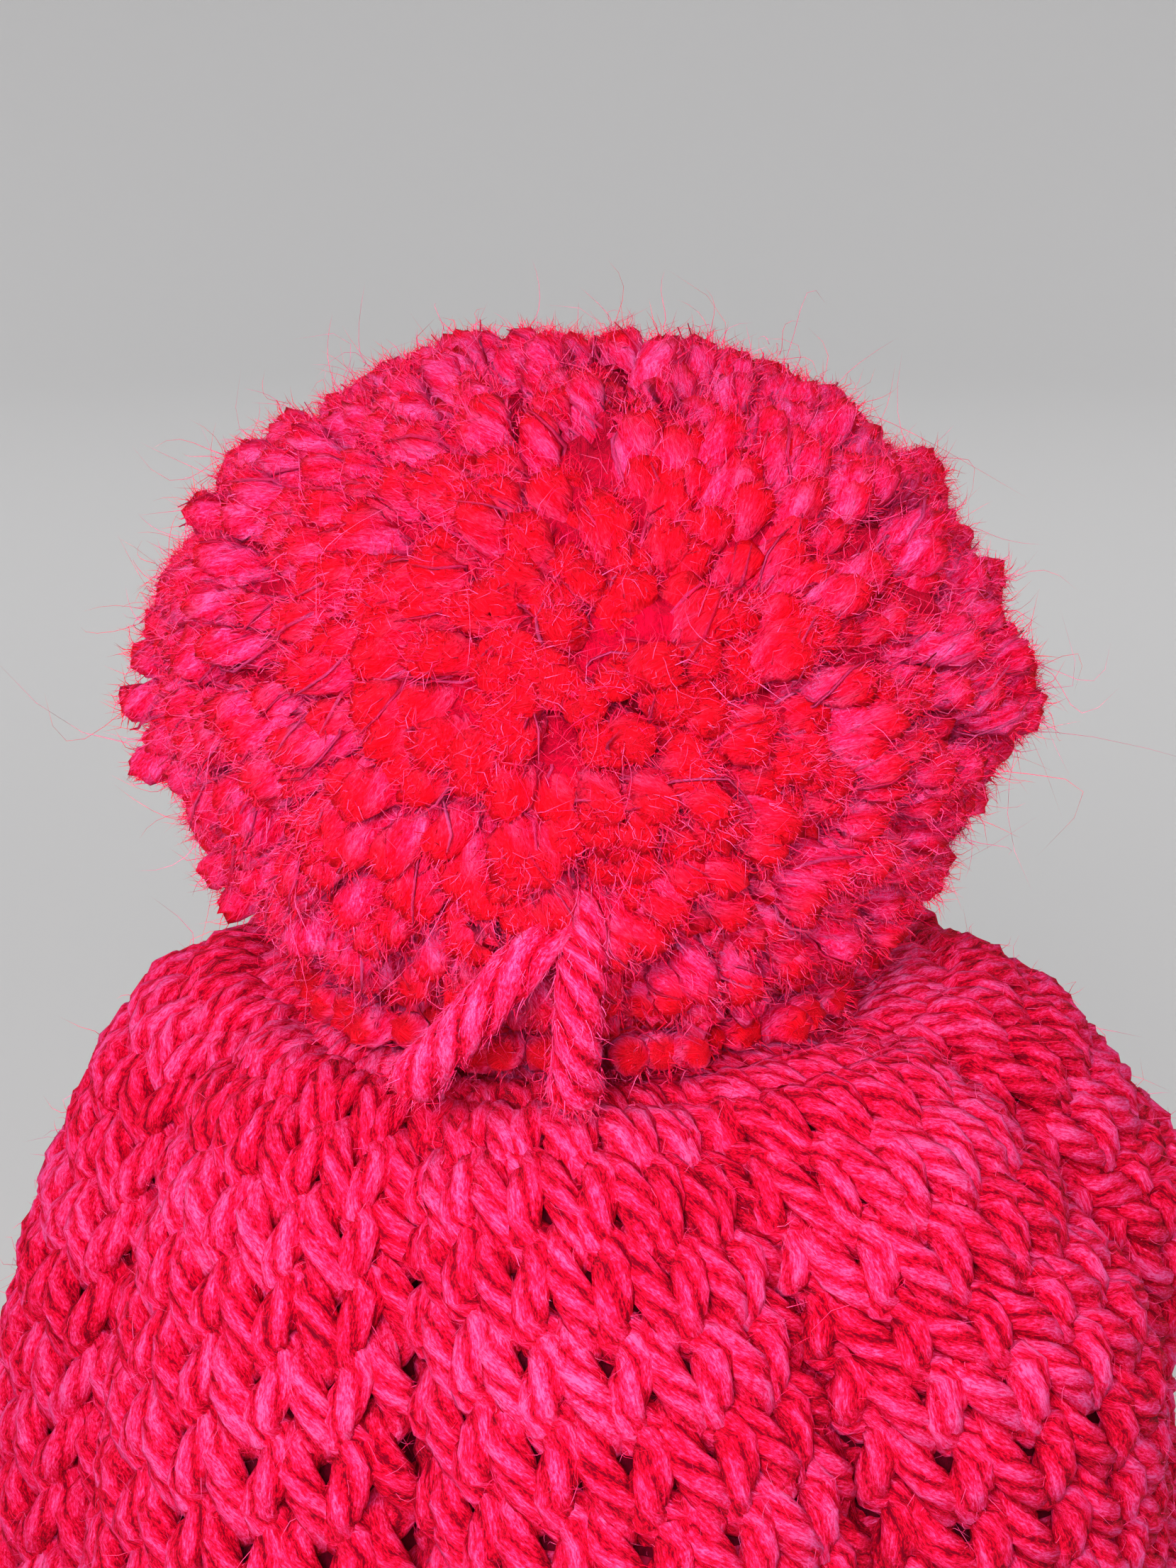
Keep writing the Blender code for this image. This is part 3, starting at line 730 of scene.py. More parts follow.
dirs = spread_out(unit(sphere_points(N_STRANDS) + RNG.normal(0, 0.042, (N_STRANDS, 3))))
is_long = RNG.permutation(N_STRANDS) < N_LONG
tufts = unit(sphere_points(N_TUFTS) + RNG.normal(0, 0.09, (N_TUFTS, 3)))
near = tufts[(dirs @ tufts.T).argmax(1)]
dirs = unit(dirs + 0.05 * (near - dirs))
extra = RNG.normal(0, 0.021, N_TUFTS)[(dirs @ tufts.T).argmax(1)]
extra = extra - np.where(is_long, 0.0, RNG.uniform(0.05, 0.11, len(dirs)))
keep = np.degrees(np.arcsin(dirs[:, 2])) > -80
dirs, extra, near, is_long = dirs[keep], extra[keep], near[keep], is_long[keep]
elevation = np.degrees(np.arcsin(dirs[:, 2]))
azimuth = (np.degrees(np.arctan2(dirs[:, 1], dirs[:, 0])) + 360) % 360

# lowest height a pom strand may reach at each radius, mm, so the pom rests on the crown
REST_R = [0, 14, 22, 30, 36, 42, 48, 54, 60]
REST_Z = [199.6, 199.8, 201.0, 203.0, 204.4, 204.6, 202.6, 197.5, 189.0]


def rest_height(points):
    return np.interp(np.hypot(points[..., 0], points[..., 1]) / MM, REST_R, REST_Z) * MM


def settle(points, margin=0.0):
    """Lift, in place, whatever sinks below the rest height."""
    low = rest_height(points) + margin
    z = points[..., 2]
    points[..., 2] = np.where(z < low, low + 0.10 * (z - low), z)
    return points


def above_rest(points):
    return points[:, 2] > rest_height(points) - 0.4 * MM


# ------------------------------------------------------------------ pom strands
# fractions of a strand's length, closer together towards its cut end
STEPS = np.array([0.34, 0.55, 0.68, 0.78, 0.86, 0.92, 0.96, 0.985, 1.0])
COMB = 2.2                              # how strongly strands bunch to front and back
STRAND_SIDES = 12
THREADS = 2
THREAD_TAPER = np.array([0.45, 0.85, 1.0, 1.0, 0.95, 0.8, 0.38])


def strand_base(dirs, grow, droop, lean_to):
    """Middle line of each strand, from the waist to its cut end."""
    part = STEPS[None, :, None]
    side = unit(np.cross(dirs, RNG.normal(size=dirs.shape)))
    bend = RNG.normal(0, 0.060, (len(dirs), 1, 1))
    # strands leave the waist bunched towards front and back, and comb outwards to their ends
    toward = (dirs @ VIEW_DIR)[:, None, None] * VIEW_DIR
    combed = unit(dirs[:, None] + COMB * (1 - part) * toward)
    base = POM_C + combed * POM_RADII * part * grow[:, None, None]
    base = base + side[:, None] * bend * POM_A * (part - 0.3) ** 2 * 1.7
    base = base + (lean_to - dirs)[:, None] * POM_A * 0.07 * (part - 0.3) ** 2 * 2.0
    base[:, :, 2] -= droop[:, None] * ((part[..., 0] - 0.3) / 0.7) ** 2 * POM_A
    return base


def resample(base, left):
    """Points of each line at given distances from its end (negative runs past the end)."""
    along = run_length(base)
    want = along[:, -1:] - left
    out = np.empty(left.shape + (3,))
    for i in range(len(base)):
        for axis in range(3):
            out[i, :, axis] = np.interp(want[i], along[i], base[i, :, axis])
    over = np.maximum(0, want - along[:, -1:])
    return out + unit(base[:, -1] - base[:, -2])[:, None] * over[..., None]


def add_thread(tubes, base, spin, number, on_pom):
    """A fine thread of fibre round each strand's plies, running past their ends."""
    count = len(base)
    one = (count, 1)
    reach = RNG.uniform(-0.6, 0.9, one) * MM
    length = RNG.uniform(7.0, 11.5, one) * MM
    part = np.linspace(0, 1, len(THREAD_TAPER))[None]
    left = length * (1 - part) - reach * part
    centre = resample(base, left)
    side, up = cross_axes(unit(np.gradient(centre, axis=1)))
    opened = np.clip(1 - left / (12.0 * MM), 0, 1.1)
    inner = number == 0
    orbit = (1.5 if inner else 2.10) * MM * (1 + 0.24 * opened ** 1.5)
    orbit = orbit * (1 + RNG.normal(0, 0.09, one))
    if inner:
        orbit = orbit * RNG.uniform(0.15, 1.0, one)
    ang = (TWIST * 1.1 * (-left) + spin + 2 * math.pi * number / THREADS
           + RNG.normal(0, 0.35, one) + RNG.normal(0, 0.10, left.shape))
    mid = centre + orbit[..., None] * turned(side, up, ang)
    mid = mid + RNG.normal(0, 0.10 * MM, mid.shape)
    if on_pom:
        mid = settle(mid)
    rad = RNG.uniform(0.13, 0.24, one) * MM * THREAD_TAPER
    near_tip = np.clip(1 - (left + 0.4 * MM) / (3.4 * MM), 0, 1)
    # painted shade: threads are paler near the strand's end and darker deeper in the pom, times a random
    # tone
    near_end = np.clip(1 - (left - 3.0 * MM) / (11.0 * MM), 0, 1)
    tubes.add(mid, rad, side, 3, tip=near_tip * RNG.uniform(0.45, 1.0, one),
              tint=RNG.random(one), crest=near_end * RNG.uniform(0.45, 1.15, one),
              phase=RNG.uniform(0, 6.28, one))


def build_strands(name, base, node=None, body="pom"):
    """Strands along the given middle lines; returns what brush needs to cover them."""
    on_pom = body == "pom"
    count, steps, _ = base.shape
    side, _ = cross_axes(unit(np.gradient(base, axis=1)))
    along = run_length(base)
    left = along[:, -1:] - along
    tint = RNG.random(count)
    spin = RNG.uniform(0, 6.28, (count, 1))
    tubes = Tubes()
    # the strand's body: four plies that loosen and swell into one soft cut end
    opened = np.clip(1 - left / (11.0 * MM), 0, 1)
    # painted end-on shade: the saturated red of the cut ends runs further down strands aimed at the
    # camera
    to_view = np.clip(np.abs(unit(base[:, -1] - POM_C) @ VIEW_DIR), 0, 1)
    zone = (0.9 + 8.0 * to_view ** 4 * on_pom) * MM     # length coloured as a cut end
    dome = np.ones(steps)
    dome[0] = 0.6
    dome[-3:] = 0.97, 0.86, 0.58
    rad = (1.84 * MM * (1 + 0.26 * opened) * (1 + RNG.normal(0, 0.06, (count, 1)))
           * (1 + RNG.normal(0, 0.035, (count, steps))) * dome)
    mid = settle(base.copy(), 1.6 * MM) if on_pom else base
    ang = 2 * math.pi * np.arange(STRAND_SIDES) / STRAND_SIDES
    lumps = 1 + 0.10 * np.cos(3 * ang + 0.8) + 0.05 * np.cos(5 * ang + 2.0)
    # painted shade: strands darken deeper into the pom, times a random tone for each strand
    painted_core_shade = np.clip(1 - (left - 4.0 * MM) / (15.0 * MM), 0.1, 1)
    tubes.add(mid, rad, side, STRAND_SIDES, ply_profile(STRAND_SIDES, 0.17) * lumps,
              TWIST * 1.15, tip=np.clip(1.15 - left / zone[:, None], 0, 1),
              tint=tint[:, None] * 0.8 + 0.1, painted_shade_factor=painted_core_shade * (0.80 + 0.20 * RNG.random((count, 1))),
              rough=0.055, phase=spin, soft=opened ** 2, ragged=0.36 * MM * (opened > 0.72))
    for number in range(THREADS):
        add_thread(tubes, base, spin, number, on_pom)
    obj = tubes.build(name, POM_YARN)
    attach(obj, body)
    if node:
        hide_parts(node)
    return {"base": base, "along": along, "rad": rad, "zone": zone}


def pom_bundle(name, chosen, node):
    count = len(chosen)
    elev = np.degrees(np.arcsin(dirs[chosen, 2]))
    grow = np.clip(0.968 - 0.040 * np.cos(np.radians(elev)) ** 2 + extra[chosen]
                   + RNG.normal(0, 0.018, count), 0.78, 1.005)
    grow = grow + 0.020 * np.clip(elev / 60, 0, 1)
    droop = 0.015 + 0.035 * RNG.random(count) + 0.03 * np.clip(-elev / 40, 0, 1)
    base = strand_base(dirs[chosen], grow, droop, near[chosen])
    return build_strands(name, base, node)


def pom_middle():
    """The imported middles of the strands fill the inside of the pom."""
    around, down = 96, 64
    polar = (math.pi * np.arange(down + 1) / down)[:, None]
    turn = 2 * math.pi * np.arange(around) / around
    ball = np.stack([np.sin(polar) * np.cos(turn), np.sin(polar) * np.sin(turn),
                     np.cos(polar) * np.ones(around)], -1)
    jitter = RNG.normal(0, 0.022, (down + 1, around))
    jitter[0], jitter[-1] = jitter[0, 0], jitter[-1, 0]
    size = 0.835 + jitter + 0.02 * np.sin(9 * ball[..., 0] + 4) * np.sin(11 * ball[..., 2])
    points = settle(POM_C + ball * POM_RADII * size[..., None], 2.0 * MM)
    faces = [(j * around + i, (j + 1) * around + i, (j + 1) * around + (i + 1) % around,
              j * around + (i + 1) % around) for j in range(down) for i in range(around)]
    mesh = bpy.data.meshes.new("pom_strand_middles")
    mesh.from_pydata(points.reshape(-1, 3).tolist(), [], faces)
    work = bmesh.new()
    work.from_mesh(mesh)
    bmesh.ops.remove_doubles(work, verts=work.verts, dist=1e-6)
    bmesh.ops.recalc_face_normals(work, faces=work.faces)
    work.to_mesh(mesh)
    work.free()
    mesh.shade_smooth()
    coords = np.empty(len(mesh.vertices) * 3, np.float32)
    mesh.vertices.foreach_get("co", coords)
    yarn_attributes(mesh, crest=0.35, tip=0.0, tint=0.4, fib=coords * 400.0)
    obj = add_object("pom_strand_middles", mesh, PACKED_YARN)
    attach(obj, "pom")


pom_middle()

# node: azimuth from and to, elevation from and to, in degrees
BUNDLES = {"pom_bundle_top": (0, 360, 60, 91)}
for band, count, low, high, start in (("upper", 5, 21.0, 60.0, -90.0),
                                      ("side", 6, -16.0, 21.0, -60.0),
                                      ("lower", 4, -90.0, -16.0, -90.0)):
    width = 360.0 / count
    for k in range(count):
        BUNDLES["pom_bundle_%s_%d" % (band, k + 1)] = (
            start + width * (k - 0.5), start + width * (k + 0.5), low, high)

parts, full = [], []
taken = np.zeros(len(dirs), bool)
for node, (az_from, az_to, low, high) in BUNDLES.items():
    inside = (azimuth - az_from) % 360 < az_to - az_from
    chosen = np.nonzero(inside & (elevation >= low) & (elevation < high) & ~taken)[0]
    taken[chosen] = True
    pieces = max(1, math.ceil(len(chosen) / 140))
    for k in range(pieces):
        name = node.replace("bundle", "strands") + ("_%s" % "abcd"[k] if pieces > 1 else "")
        parts.append(pom_bundle(name, chosen[k::pieces], node))
        full.append(is_long[chosen[k::pieces]])
pom = {key: np.concatenate([part[key] for part in parts]) for key in parts[0]}
full = np.concatenate(full)


# ------------------------------------------------------------------ loose fibres
def fuzz_piece(name, points, dirs, length, width, curl, tip, body="pom",
               steps=5, pale=None):
    """Thin curling fibres from the given points; width in mm, curl as a share of length."""
    count = len(points)
    ahead = unit(dirs)
    side = unit(np.cross(ahead, RNG.normal(size=(count, 3))))
    up = np.cross(ahead, side)
    part = np.linspace(0, 1, steps)[None, :, None]
    curl_side = RNG.normal(0, curl, (count, 1, 1))
    curl_up = RNG.normal(0, curl * 0.6, (count, 1, 1))
    mid = points[:, None] + length.reshape(count, 1, 1) * (
        ahead[:, None] * (part - 0.25 * np.abs(curl_side) * part ** 2)
        + side[:, None] * curl_side * part ** 2
        + up[:, None] * curl_up * np.sin(part * 3.0) * part)
    rad = width * MM * (1 - 0.75 * np.linspace(0, 1, steps)) * np.ones((count, 1))
    tint = RNG.random(count)
    pale = RNG.random(count) if pale is None else pale
    tubes = Tubes()
    tubes.hairs(mid, rad, side[:, None], tip, tint, crest=pale)
    obj = tubes.build(name, LOOSE_FIBRE)
    if body:
        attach(obj, body)
    return obj


def brush(strands, chosen, per, on=0.34, back=9.5):
    """Short fibres: a share `on` over the cut end, the others lying along the last `back` mm.
    Returns their points, directions, tip values and lengths."""
    pick = np.repeat(chosen, per)
    count = len(pick)
    base, along, rads = (strands[key][pick] for key in ("base", "along", "rad"))
    on_end = RNG.random(count) < on
    left = np.where(on_end, 0.0, (0.3 + back * RNG.random(count) ** 1.1) * MM)
    want = along[:, -1] - left
    j = np.clip((along < want[:, None]).sum(1) - 1, 0, base.shape[1] - 2)
    i = np.arange(count)
    part = (want - along[i, j]) / (along[i, j + 1] - along[i, j] + 1e-9)
    centre = base[i, j] * (1 - part)[:, None] + base[i, j + 1] * part[:, None]
    tan = unit(base[i, j + 1] - base[i, j])
    rad = rads[i, j] * (1 - part) + rads[i, j + 1] * part
    rad = np.where(on_end, rads[:, -3], rad)
    radial = turned(*cross_axes(tan), RNG.uniform(0, 2 * math.pi, count))
    spot = np.sqrt(RNG.random(count))   # place on the cut end, from middle to rim
    centre = centre - tan * np.where(on_end, spot ** 2 * 1.1 * MM, 0.0)[:, None]
    points = centre + radial * np.where(on_end, rad * spot * 0.9, rad * 0.94)[:, None]
    splay = np.where(on_end, spot * 0.45, RNG.uniform(0.04, 0.30, count))[:, None]
    scatter = RNG.normal(0, 1, (count, 3)) * np.where(on_end, 0.50, 0.17)[:, None]
    ahead = unit(tan + radial * splay - np.cross(tan, radial) * 0.30 + scatter)
    tip = np.clip(1 - left / (strands["zone"][pick] + 1.0 * MM), 0, 1)
    length = np.where(on_end, np.clip(RNG.gamma(4.5, 0.33, count), 0.6, 3.0),
                      np.clip(RNG.gamma(5.0, 0.42, count), 0.9, 4.0)) * MM
    return points, ahead, tip, length


def brush_above(*args, **options):
    """The brushed fibres that start clear of the crown."""
    fibres = brush(*args, **options)
    clear = above_rest(fibres[0])
    return [values[clear] for values in fibres]


# all long strands and half the short ones
order = RNG.permutation(np.concatenate([np.nonzero(full)[0], np.nonzero(~full)[0][::2]]))
order = order[pom["base"][order, -1, 2] > 205 * MM]
for k, chosen in enumerate(np.array_split(order, 11)):
    points, ahead, tip, length = brush_above(pom, chosen, 128, on=0.50)
    fuzz_piece("pom_brush_%d" % (k + 1), points, ahead, length, width=0.058, curl=0.80,
               tip=tip * RNG.uniform(0.0, 1.0, len(points)), steps=3,
               pale=RNG.random(len(points)) ** 0.85)

cut_ends = pom["base"][:, -1]
end_dirs = unit(cut_ends - pom["base"][:, -2])
pick = RNG.integers(0, len(cut_ends), 3400)
points = cut_ends[pick] + RNG.normal(0, 0.9, (len(pick), 3)) * MM
ahead = unit(end_dirs[pick] + RNG.normal(0, 0.8, (len(pick), 3)))
clear = above_rest(points) & (points[:, 2] > 207 * MM)
points, ahead = points[clear], ahead[clear]
length = np.clip(RNG.gamma(2.2, 1.5, len(points)), 1.2, 9.0) * MM
fuzz_piece("pom_stray_fibres", points, ahead, length, width=0.040, curl=1.1,
           tip=RNG.random(len(points)) * 0.3, steps=7)

# ------------------------------------------------------------------ front loose strands
# two strands hang from the pom's underside and lie on the front lobe; points in mm
LOOSE_STEPS = 46
LOOSE_PATHS = [
    [(-1.5, -24.0, 226.5), (-2.2, -41.5, 222.0), (-9.0, -45.5, 214.2), (-16.5, -42.5, 204.4)],
    [(0.6, -24.0, 225.5), (0.2, -42.0, 220.5), (-0.4, -45.0, 212.0), (-0.6, -42.5, 203.0)],
]


def blend_loose(obj):
    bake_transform(obj)


hang = np.stack([curve(path, np.linspace(0, 1, LOOSE_STEPS)) for path in LOOSE_PATHS])
side, _ = cross_axes(unit(np.gradient(hang, axis=1)))
along = run_length(hang)
left = along[:, -1:] - along
opened = np.clip(1 - left / (5.0 * MM), 0, 1)
rad = (2.45 * MM * (1 + 0.22 * opened) * np.sqrt(np.clip(left / (2.0 * MM) + 0.30, 0, 1))
       * (1 + RNG.normal(0, 0.012, (2, LOOSE_STEPS))))
tubes = Tubes()
tubes.add(hang, rad, side, 16, ply_profile(16, 0.24), twist=-2 * math.pi / (15.5 * MM),
          tip=np.clip(1.1 - left / (1.8 * MM), 0, 1), tint=np.array([[0.75], [0.55]]),
          soft=opened ** 2 * 0.8, rough=0.030, phase=np.array([[0.4], [1.3]]))
obj = tubes.build("front_loose_strands", HAT_YARN)
blend_loose(obj)
loose = {"base": hang, "along": along, "rad": rad, "zone": np.array([1.0, 1.0]) * MM}
points, ahead, tip, length = brush(loose, np.arange(2), 560, on=0.30, back=22.0)
blend_loose(fuzz_piece("front_loose_ends", points, ahead, length * 0.85, width=0.050, curl=0.5,
                       tip=tip * 0.5, body=None, steps=4, pale=RNG.random(len(points)) ** 0.7))


# ------------------------------------------------------------------ strands under the pom
def radial_strand(turn, path):
    """Strand line leaving the z axis at the angle turn; path holds (radius, height) in mm."""
    fractions = (STEPS - STEPS[0]) / (STEPS[-1] - STEPS[0])
    return curve([(r * math.cos(turn), r * math.sin(turn), z) for r, z in path], fractions, 12)


# a skirt of lower strands round the tie closes the gap over the gathered hole
# (end radius, end height, number of strands)
SKIRT = [(36.5, 210.2, 34), (30.0, 206.6, 28), (23.0, 203.7, 20), (16.5, 202.0, 13),
         (10.5, 201.4, 8)]
lines = []
for ring_r, ring_z, count in SKIRT:
    for k in range(count):
        turn = 2 * math.pi * (k + RNG.uniform(-0.3, 0.3)) / count
        r = ring_r + RNG.normal(0, 1.6)
        z = ring_z + RNG.normal(0, 1.0)
        lines.append(radial_strand(turn, [(min(9, 0.5 * r), 222.0), (0.6 * r, z + 11.0),
                                          (0.82 * r, z + 4.5), (r, z)]))
strands = build_strands("pom_strands_underside", np.stack(lines))
points, ahead, tip, length = brush_above(strands, np.arange(len(lines)), 90)
fuzz_piece("pom_brush_underside", points, ahead, length, width=0.070, curl=0.45,
           tip=tip * RNG.uniform(0.2, 1.0, len(points)), steps=3)

# strands trapped under the pom lie flat on the gathered top
# (start height, number of strands, end radius, height above the crest)
TRAPPED = [(202.6, 52, 33.0, 1.5), (203.8, 40, 27.0, 3.0)]
top_r, top_z = zip(*CREST[:6])
lines = []
for start_z, count, end_r, above in TRAPPED:
    for k in range(count):
        turn = 2 * math.pi * (k + RNG.uniform(-0.3, 0.3)) / count
        r = end_r + RNG.normal(0, 1.3)
        lines.append(radial_strand(turn, [(4.6, start_z)] + [
            (part * r, float(np.interp(part * r, top_r, top_z)) + above + 0.5 * RNG.random())
            for part in (0.42, 0.72, 1.0)]))
strands = build_strands("gathered_top_strands", np.stack(lines), body="crown")
points, ahead, tip, length = brush(strands, np.arange(len(lines)), 60)
fuzz_piece("gathered_top_brush", points, ahead, length, width=0.070, curl=0.45,
           tip=tip * RNG.uniform(0.2, 1.0, len(points)), body="crown", steps=3)


# ------------------------------------------------------------------ fuzz on the knitting
def knit_fuzz(name, courses, total, body, z_min, outward=1):
    """Fibres on the face seen; outward is -1 where the fabric is turned over."""
    points, dirs = [], []
    per = total // len(courses)
    for mid, normal, verts in courses:
        i = RNG.integers(0, len(mid), per * 3)
        k = RNG.integers(0, verts.shape[1], per * 3)
        start = verts[i, k]
        off = unit(start - mid[i])
        facing = (off * normal[i]).sum(1) * outward
        bridge = RNG.random(len(facing)) < 0.30     # some fibres bridge between stitches
        seen = np.where(bridge, np.abs(facing) < 0.45, facing > 0.0) & (start[:, 2] > z_min)
        i, start, off, bridge = (values[seen][:per] for values in (i, start, off, bridge))
        tan = unit(mid[(i + 1) % len(mid)] - mid[i - 1])
        bridge = bridge[:, None]
        sign = RNG.choice([-1.0, 1.0], (len(i), 1))
        points.append(start - off * 0.08 * MM)
        dirs.append(unit(off * np.where(bridge, 1.0, RNG.uniform(0.10, 0.8, (len(i), 1)))
                         + tan * sign * np.where(bridge, 0.5, 0.8)
                         + RNG.normal(0, 0.40, (len(i), 3))))
    points, dirs = np.concatenate(points), np.concatenate(dirs)
    length = np.clip(RNG.gamma(2.6, 0.62, len(points)), 0.5, 4.2) * MM
    return fuzz_piece(name, points, dirs, length, width=0.042, curl=1.0,
                      tip=RNG.random(len(points)) * 0.25, body=body, steps=4)


exposed = [course for course in crown_courses if lowest(course) > 0.064]
for k, chosen in enumerate(np.array_split(np.arange(len(exposed)), 4)):
    knit_fuzz("crown_fuzz_%d" % (k + 1), [exposed[i] for i in chosen], total=10500,
              body="crown", z_min=0.066)
unroll(knit_fuzz("cuff_fuzz", cuff_courses, total=9500, body="brim",
                 z_min=0.008, outward=-1))


# ------------------------------------------------------------------ tie, knot, cord and tails
def plied(path, radius, node, body, closed=False, material=TIE_YARN, slot="tie_yarn",
          ref=None, name=None):
    """One plied yarn along path, in metres; radius in mm."""
    mid = np.asarray(path, float)[None]
    if ref is None:                     # carry one direction along, so the yarn does not flip
        tan = unit(np.gradient(mid, axis=1))[0]
        current = unit(np.cross(tan[0], np.array([0.31, 0.83, 0.46])))
        ref = []
        for direction in tan:
            current = unit(current - direction * current.dot(direction))
            ref.append(current)
        ref = np.array(ref)[None]
    tubes = Tubes()
    tubes.add(mid, np.full(mid.shape[:2], radius * MM), ref, YARN_SIDES, PLIES, TWIST,
              closed=closed, seg=12, tint=0.5)
    obj = tubes.build(name or node + "_yarn", material)
    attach(obj, body)
    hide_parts(node)


def tail(points, steps, radius, node, body, **options):
    plied(curve(points, np.linspace(0, 1, steps)), radius, node, body, **options)


low, high = box("gather_cord")
turn = 2 * math.pi * np.arange(120) / 120
cord_r = (high[0] - low[0]) / 2 - 1.6 * MM + 0.3 * MM * np.cos(8 * turn)
cord_z = (low[2] + high[2]) / 2 + 0.5 * MM * np.sin(8 * turn)
plied(np.stack([cord_r * np.cos(turn), cord_r * np.sin(turn), cord_z], 1), 1.5, "gather_cord",
      "crown", closed=True, ref=np.array([0, 0, 1.0]))

tail([(-9.5, 5.0, 185.4), (-11.5, 6.5, 181.0), (-13.0, 9.0, 172.0), (-12.0, 10.0, 160.0)],
     steps=30, radius=1.8, node="gather_tail", body="crown")
tail([(-6.0, 75.4, 12.0), (-3.0, 75.4, 23.0), (1.0, 75.4, 33.0), (2.0, 74.8, 42.0)],
     steps=34, radius=1.8, node="cast_on_tail", body="crown", material=HAT_YARN, slot="hat_yarn")
tie_lo, tie_hi = box("pom_tie_left")
for sign, hand in ((-1, "left"), (1, "right")):         # left is -x
    tail([(sign * 2.1, 0.0, 179.6), (sign * 2.8, 0.8, 172.0), (sign * 4.6, -0.6, 163.0),
          (sign * 5.0, sign * 1.2, 155.0)],
         steps=30, radius=1.7, node="knot_tail_" + hand, body="knot")
    z = np.linspace(tie_lo[2], tie_hi[2], 30)
    bow = 1.0 * MM * np.sin((z - z[0]) / (z[-1] - z[0]) * math.pi)
    plied(np.stack([sign * (2.4 * MM - 0.3 * bow), sign * 0.7 * bow, z], 1), 1.6,
          "pom_tie_" + hand, "tie")

# trefoil knot
low, high = box("inside_knot")
turn = 2 * math.pi * np.arange(150) / 150
knot_z = (low[2] + high[2]) / 2
knot_r = ((high[0] - low[0]) / 2 - 1.5 * MM) * (0.62 + 0.38 * np.cos(3 * turn))
knot = np.stack([knot_r * np.cos(2 * turn), knot_r * np.sin(2 * turn),
                 knot_z + ((high[2] - low[2]) / 2 - 1.5 * MM) * np.sin(3 * turn)], 1)
plied(knot, 1.5, "inside_knot", "knot", closed=True,
      ref=unit(knot - np.array([0, 0, knot_z]) + np.array([0, 0, 1e-4]))[None])

# two turns of binding round the pom's waist
WRAP_R = 5.85 * MM
part = np.linspace(0, 1, 70)
wrap = np.stack([(-3.2 + 6.4 * part) * MM, WRAP_R * np.sin(4 * math.pi * part),
                 POM_C[2] + WRAP_R * np.cos(4 * math.pi * part)], 1)
plied(wrap, 1.15, "binding_wrap", "pom", name="binding_yarn")

# waist: the strands' middles, packed side by side through the binding
offsets = []
for count, r in ((1, 0.0), (6, 1.75), (12, 3.2)):
    for k in range(count):
        turn = 2 * math.pi * k / count
        offsets.append((r * math.cos(turn), r * math.sin(turn)))
offsets = np.array(offsets) * MM
x = np.linspace(core_lo[0], core_hi[0], 14)
flare = 1 + 0.18 * (np.abs(x) / x.max()) ** 2
shape = (len(offsets), len(x))
waist = np.stack([np.broadcast_to(x, shape), offsets[:, :1] * flare,
                  POM_C[2] + offsets[:, 1:] * flare], -1)
tubes = Tubes()
tubes.add(waist, np.full(shape, 0.85 * MM), np.array([0.0, 0.6, 0.8]), 10,
          tint=RNG.random((len(offsets), 1)))
obj = tubes.build("waist_strands", TIE_YARN)
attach(obj, "pom")
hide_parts("pom_core")


# ------------------------------------------------------------------ floor, light and camera
def build_floor():
    """Floor and a coved backdrop all round, in one sheet."""
    around = 72
    rings = [(0.6, 0.0), (1.2, 0.0), (1.7, 0.0)]        # (radius, height)
    rings += [(1.7 + 0.9 * math.sin(ang), 0.9 - 0.9 * math.cos(ang))
              for ang in np.linspace(0.12, math.pi / 2, 12)]
    rings += [(2.6, 1.4)]
    verts = [(0.0, 0.0, 0.0)]
    for r, z in rings:
        verts += [(r * math.cos(2 * math.pi * k / around), r * math.sin(2 * math.pi * k / around), z)
                  for k in range(around)]
    faces = [(0, 1 + k, 1 + (k + 1) % around) for k in range(around)]
    for i in range(len(rings) - 1):
        for k in range(around):
            a, b = 1 + i * around + k, 1 + i * around + (k + 1) % around
            faces.append((a, a + around, b + around, b))
    mesh = bpy.data.meshes.new("floor")
    mesh.from_pydata(verts, [], faces)
    mesh.shade_smooth()
    mat = bpy.data.materials.new("floor")
    mat.use_nodes = True
    shader = mat.node_tree.nodes["Principled BSDF"]
    shader.inputs["Base Color"].default_value = (0.68, 0.675, 0.675, 1)
    shader.inputs["Roughness"].default_value = 0.95
    add_object("floor", mesh, mat)


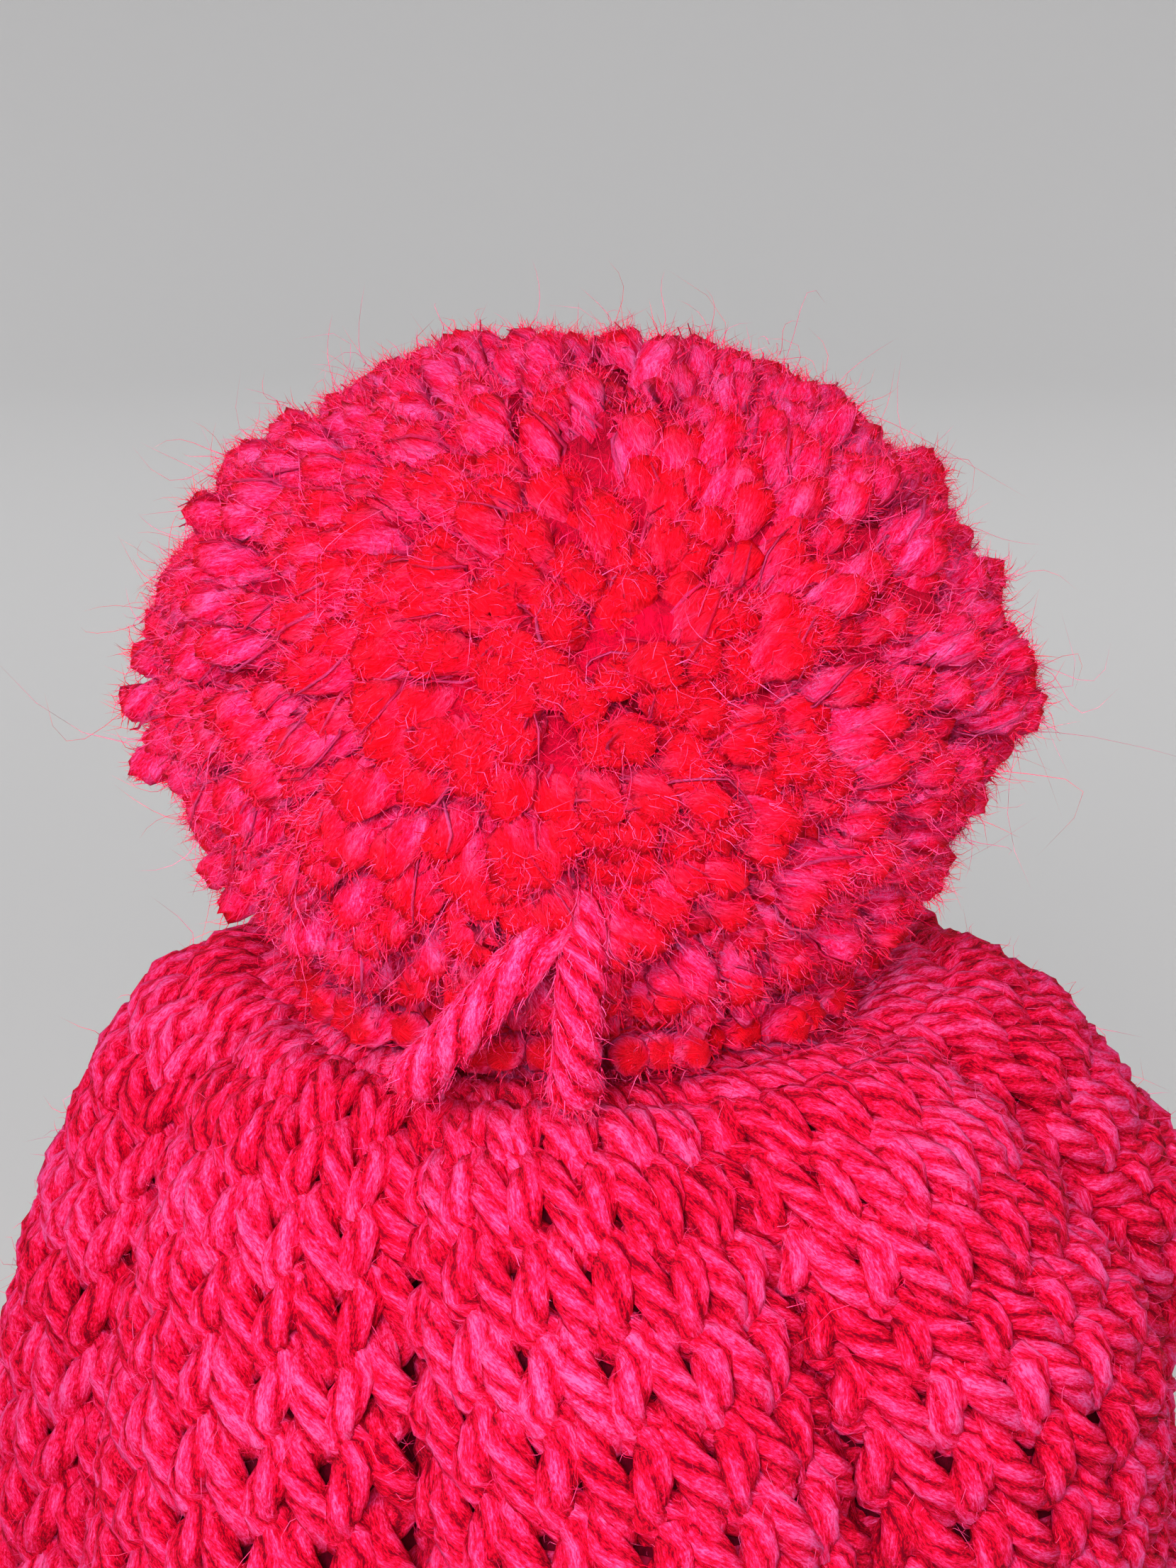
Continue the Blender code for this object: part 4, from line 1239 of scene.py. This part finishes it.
def area(name, loc, target, size, power, colour=(1, 1, 1)):
    light = bpy.data.lights.new(name, "AREA")
    light.size = size
    light.energy = power
    light.color = colour
    obj = add_object(name, light)
    obj.location = loc
    obj.rotation_euler = (Vector(target) - Vector(loc)).to_track_quat("-Z", "Y").to_euler()
    return light


build_floor()

world = bpy.data.worlds.new("studio")
bpy.context.scene.world = world
world.use_nodes = True
background = world.node_tree.nodes["Background"]
background.inputs["Color"].default_value = (0.92, 0.92, 0.95, 1)
background.inputs["Strength"].default_value = 0.17

key = area("key", loc=(-0.030, -0.290, 0.345), target=(0, -0.02, 0.20), size=0.11, power=0.36,
           colour=(1.0, 0.99, 0.98))
key.spread = math.radians(85)           # kept off the floor
area("fill", loc=(-0.9, -1.9, 1.6), target=(0, 0, 0.12), size=1.6, power=6.0)
area("back_left", loc=(-1.5, 1.2, 1.3), target=(0, 0, 0.15), size=1.3, power=7.5)
area("back_right", loc=(1.5, 1.0, 1.2), target=(0, 0, 0.15), size=1.3, power=7.5)
for k in range(4):                      # wash the backdrop from inside, facing away from the hat
    turn = math.radians(45 + 90 * k)
    x, y = math.cos(turn), math.sin(turn)
    area("wash_%d" % (k + 1), loc=(0.8 * x, 0.8 * y, 1.5), target=(2.4 * x, 2.4 * y, 0.4),
         size=1.4, power=7.0)
sun = bpy.data.lights.new("soft_sun", "SUN")
sun.energy = 0.36
sun.angle = math.radians(30)
add_object("soft_sun", sun).rotation_euler = (math.radians(38), math.radians(-12), 0)

CAMERA_DIST = 0.2435                    # from the pom's middle
AIM_DOWN, AIM_TURN = 0.05504765, -0.002974318   # radians off the pom: downwards, about z
lens = bpy.data.cameras.new("camera")
lens.sensor_fit = "HORIZONTAL"
lens.sensor_width = 36.0
lens.lens = 69.309222
lens.clip_start = 0.01
camera = add_object("camera", lens)
camera.location = Vector(POM_C) + Vector(VIEW_DIR) * CAMERA_DIST
camera.rotation_euler = (math.pi / 2 - VIEW_ELEV - AIM_DOWN, 0, AIM_TURN)
bpy.context.scene.camera = camera
bpy.context.scene.view_settings.view_transform = "Standard"
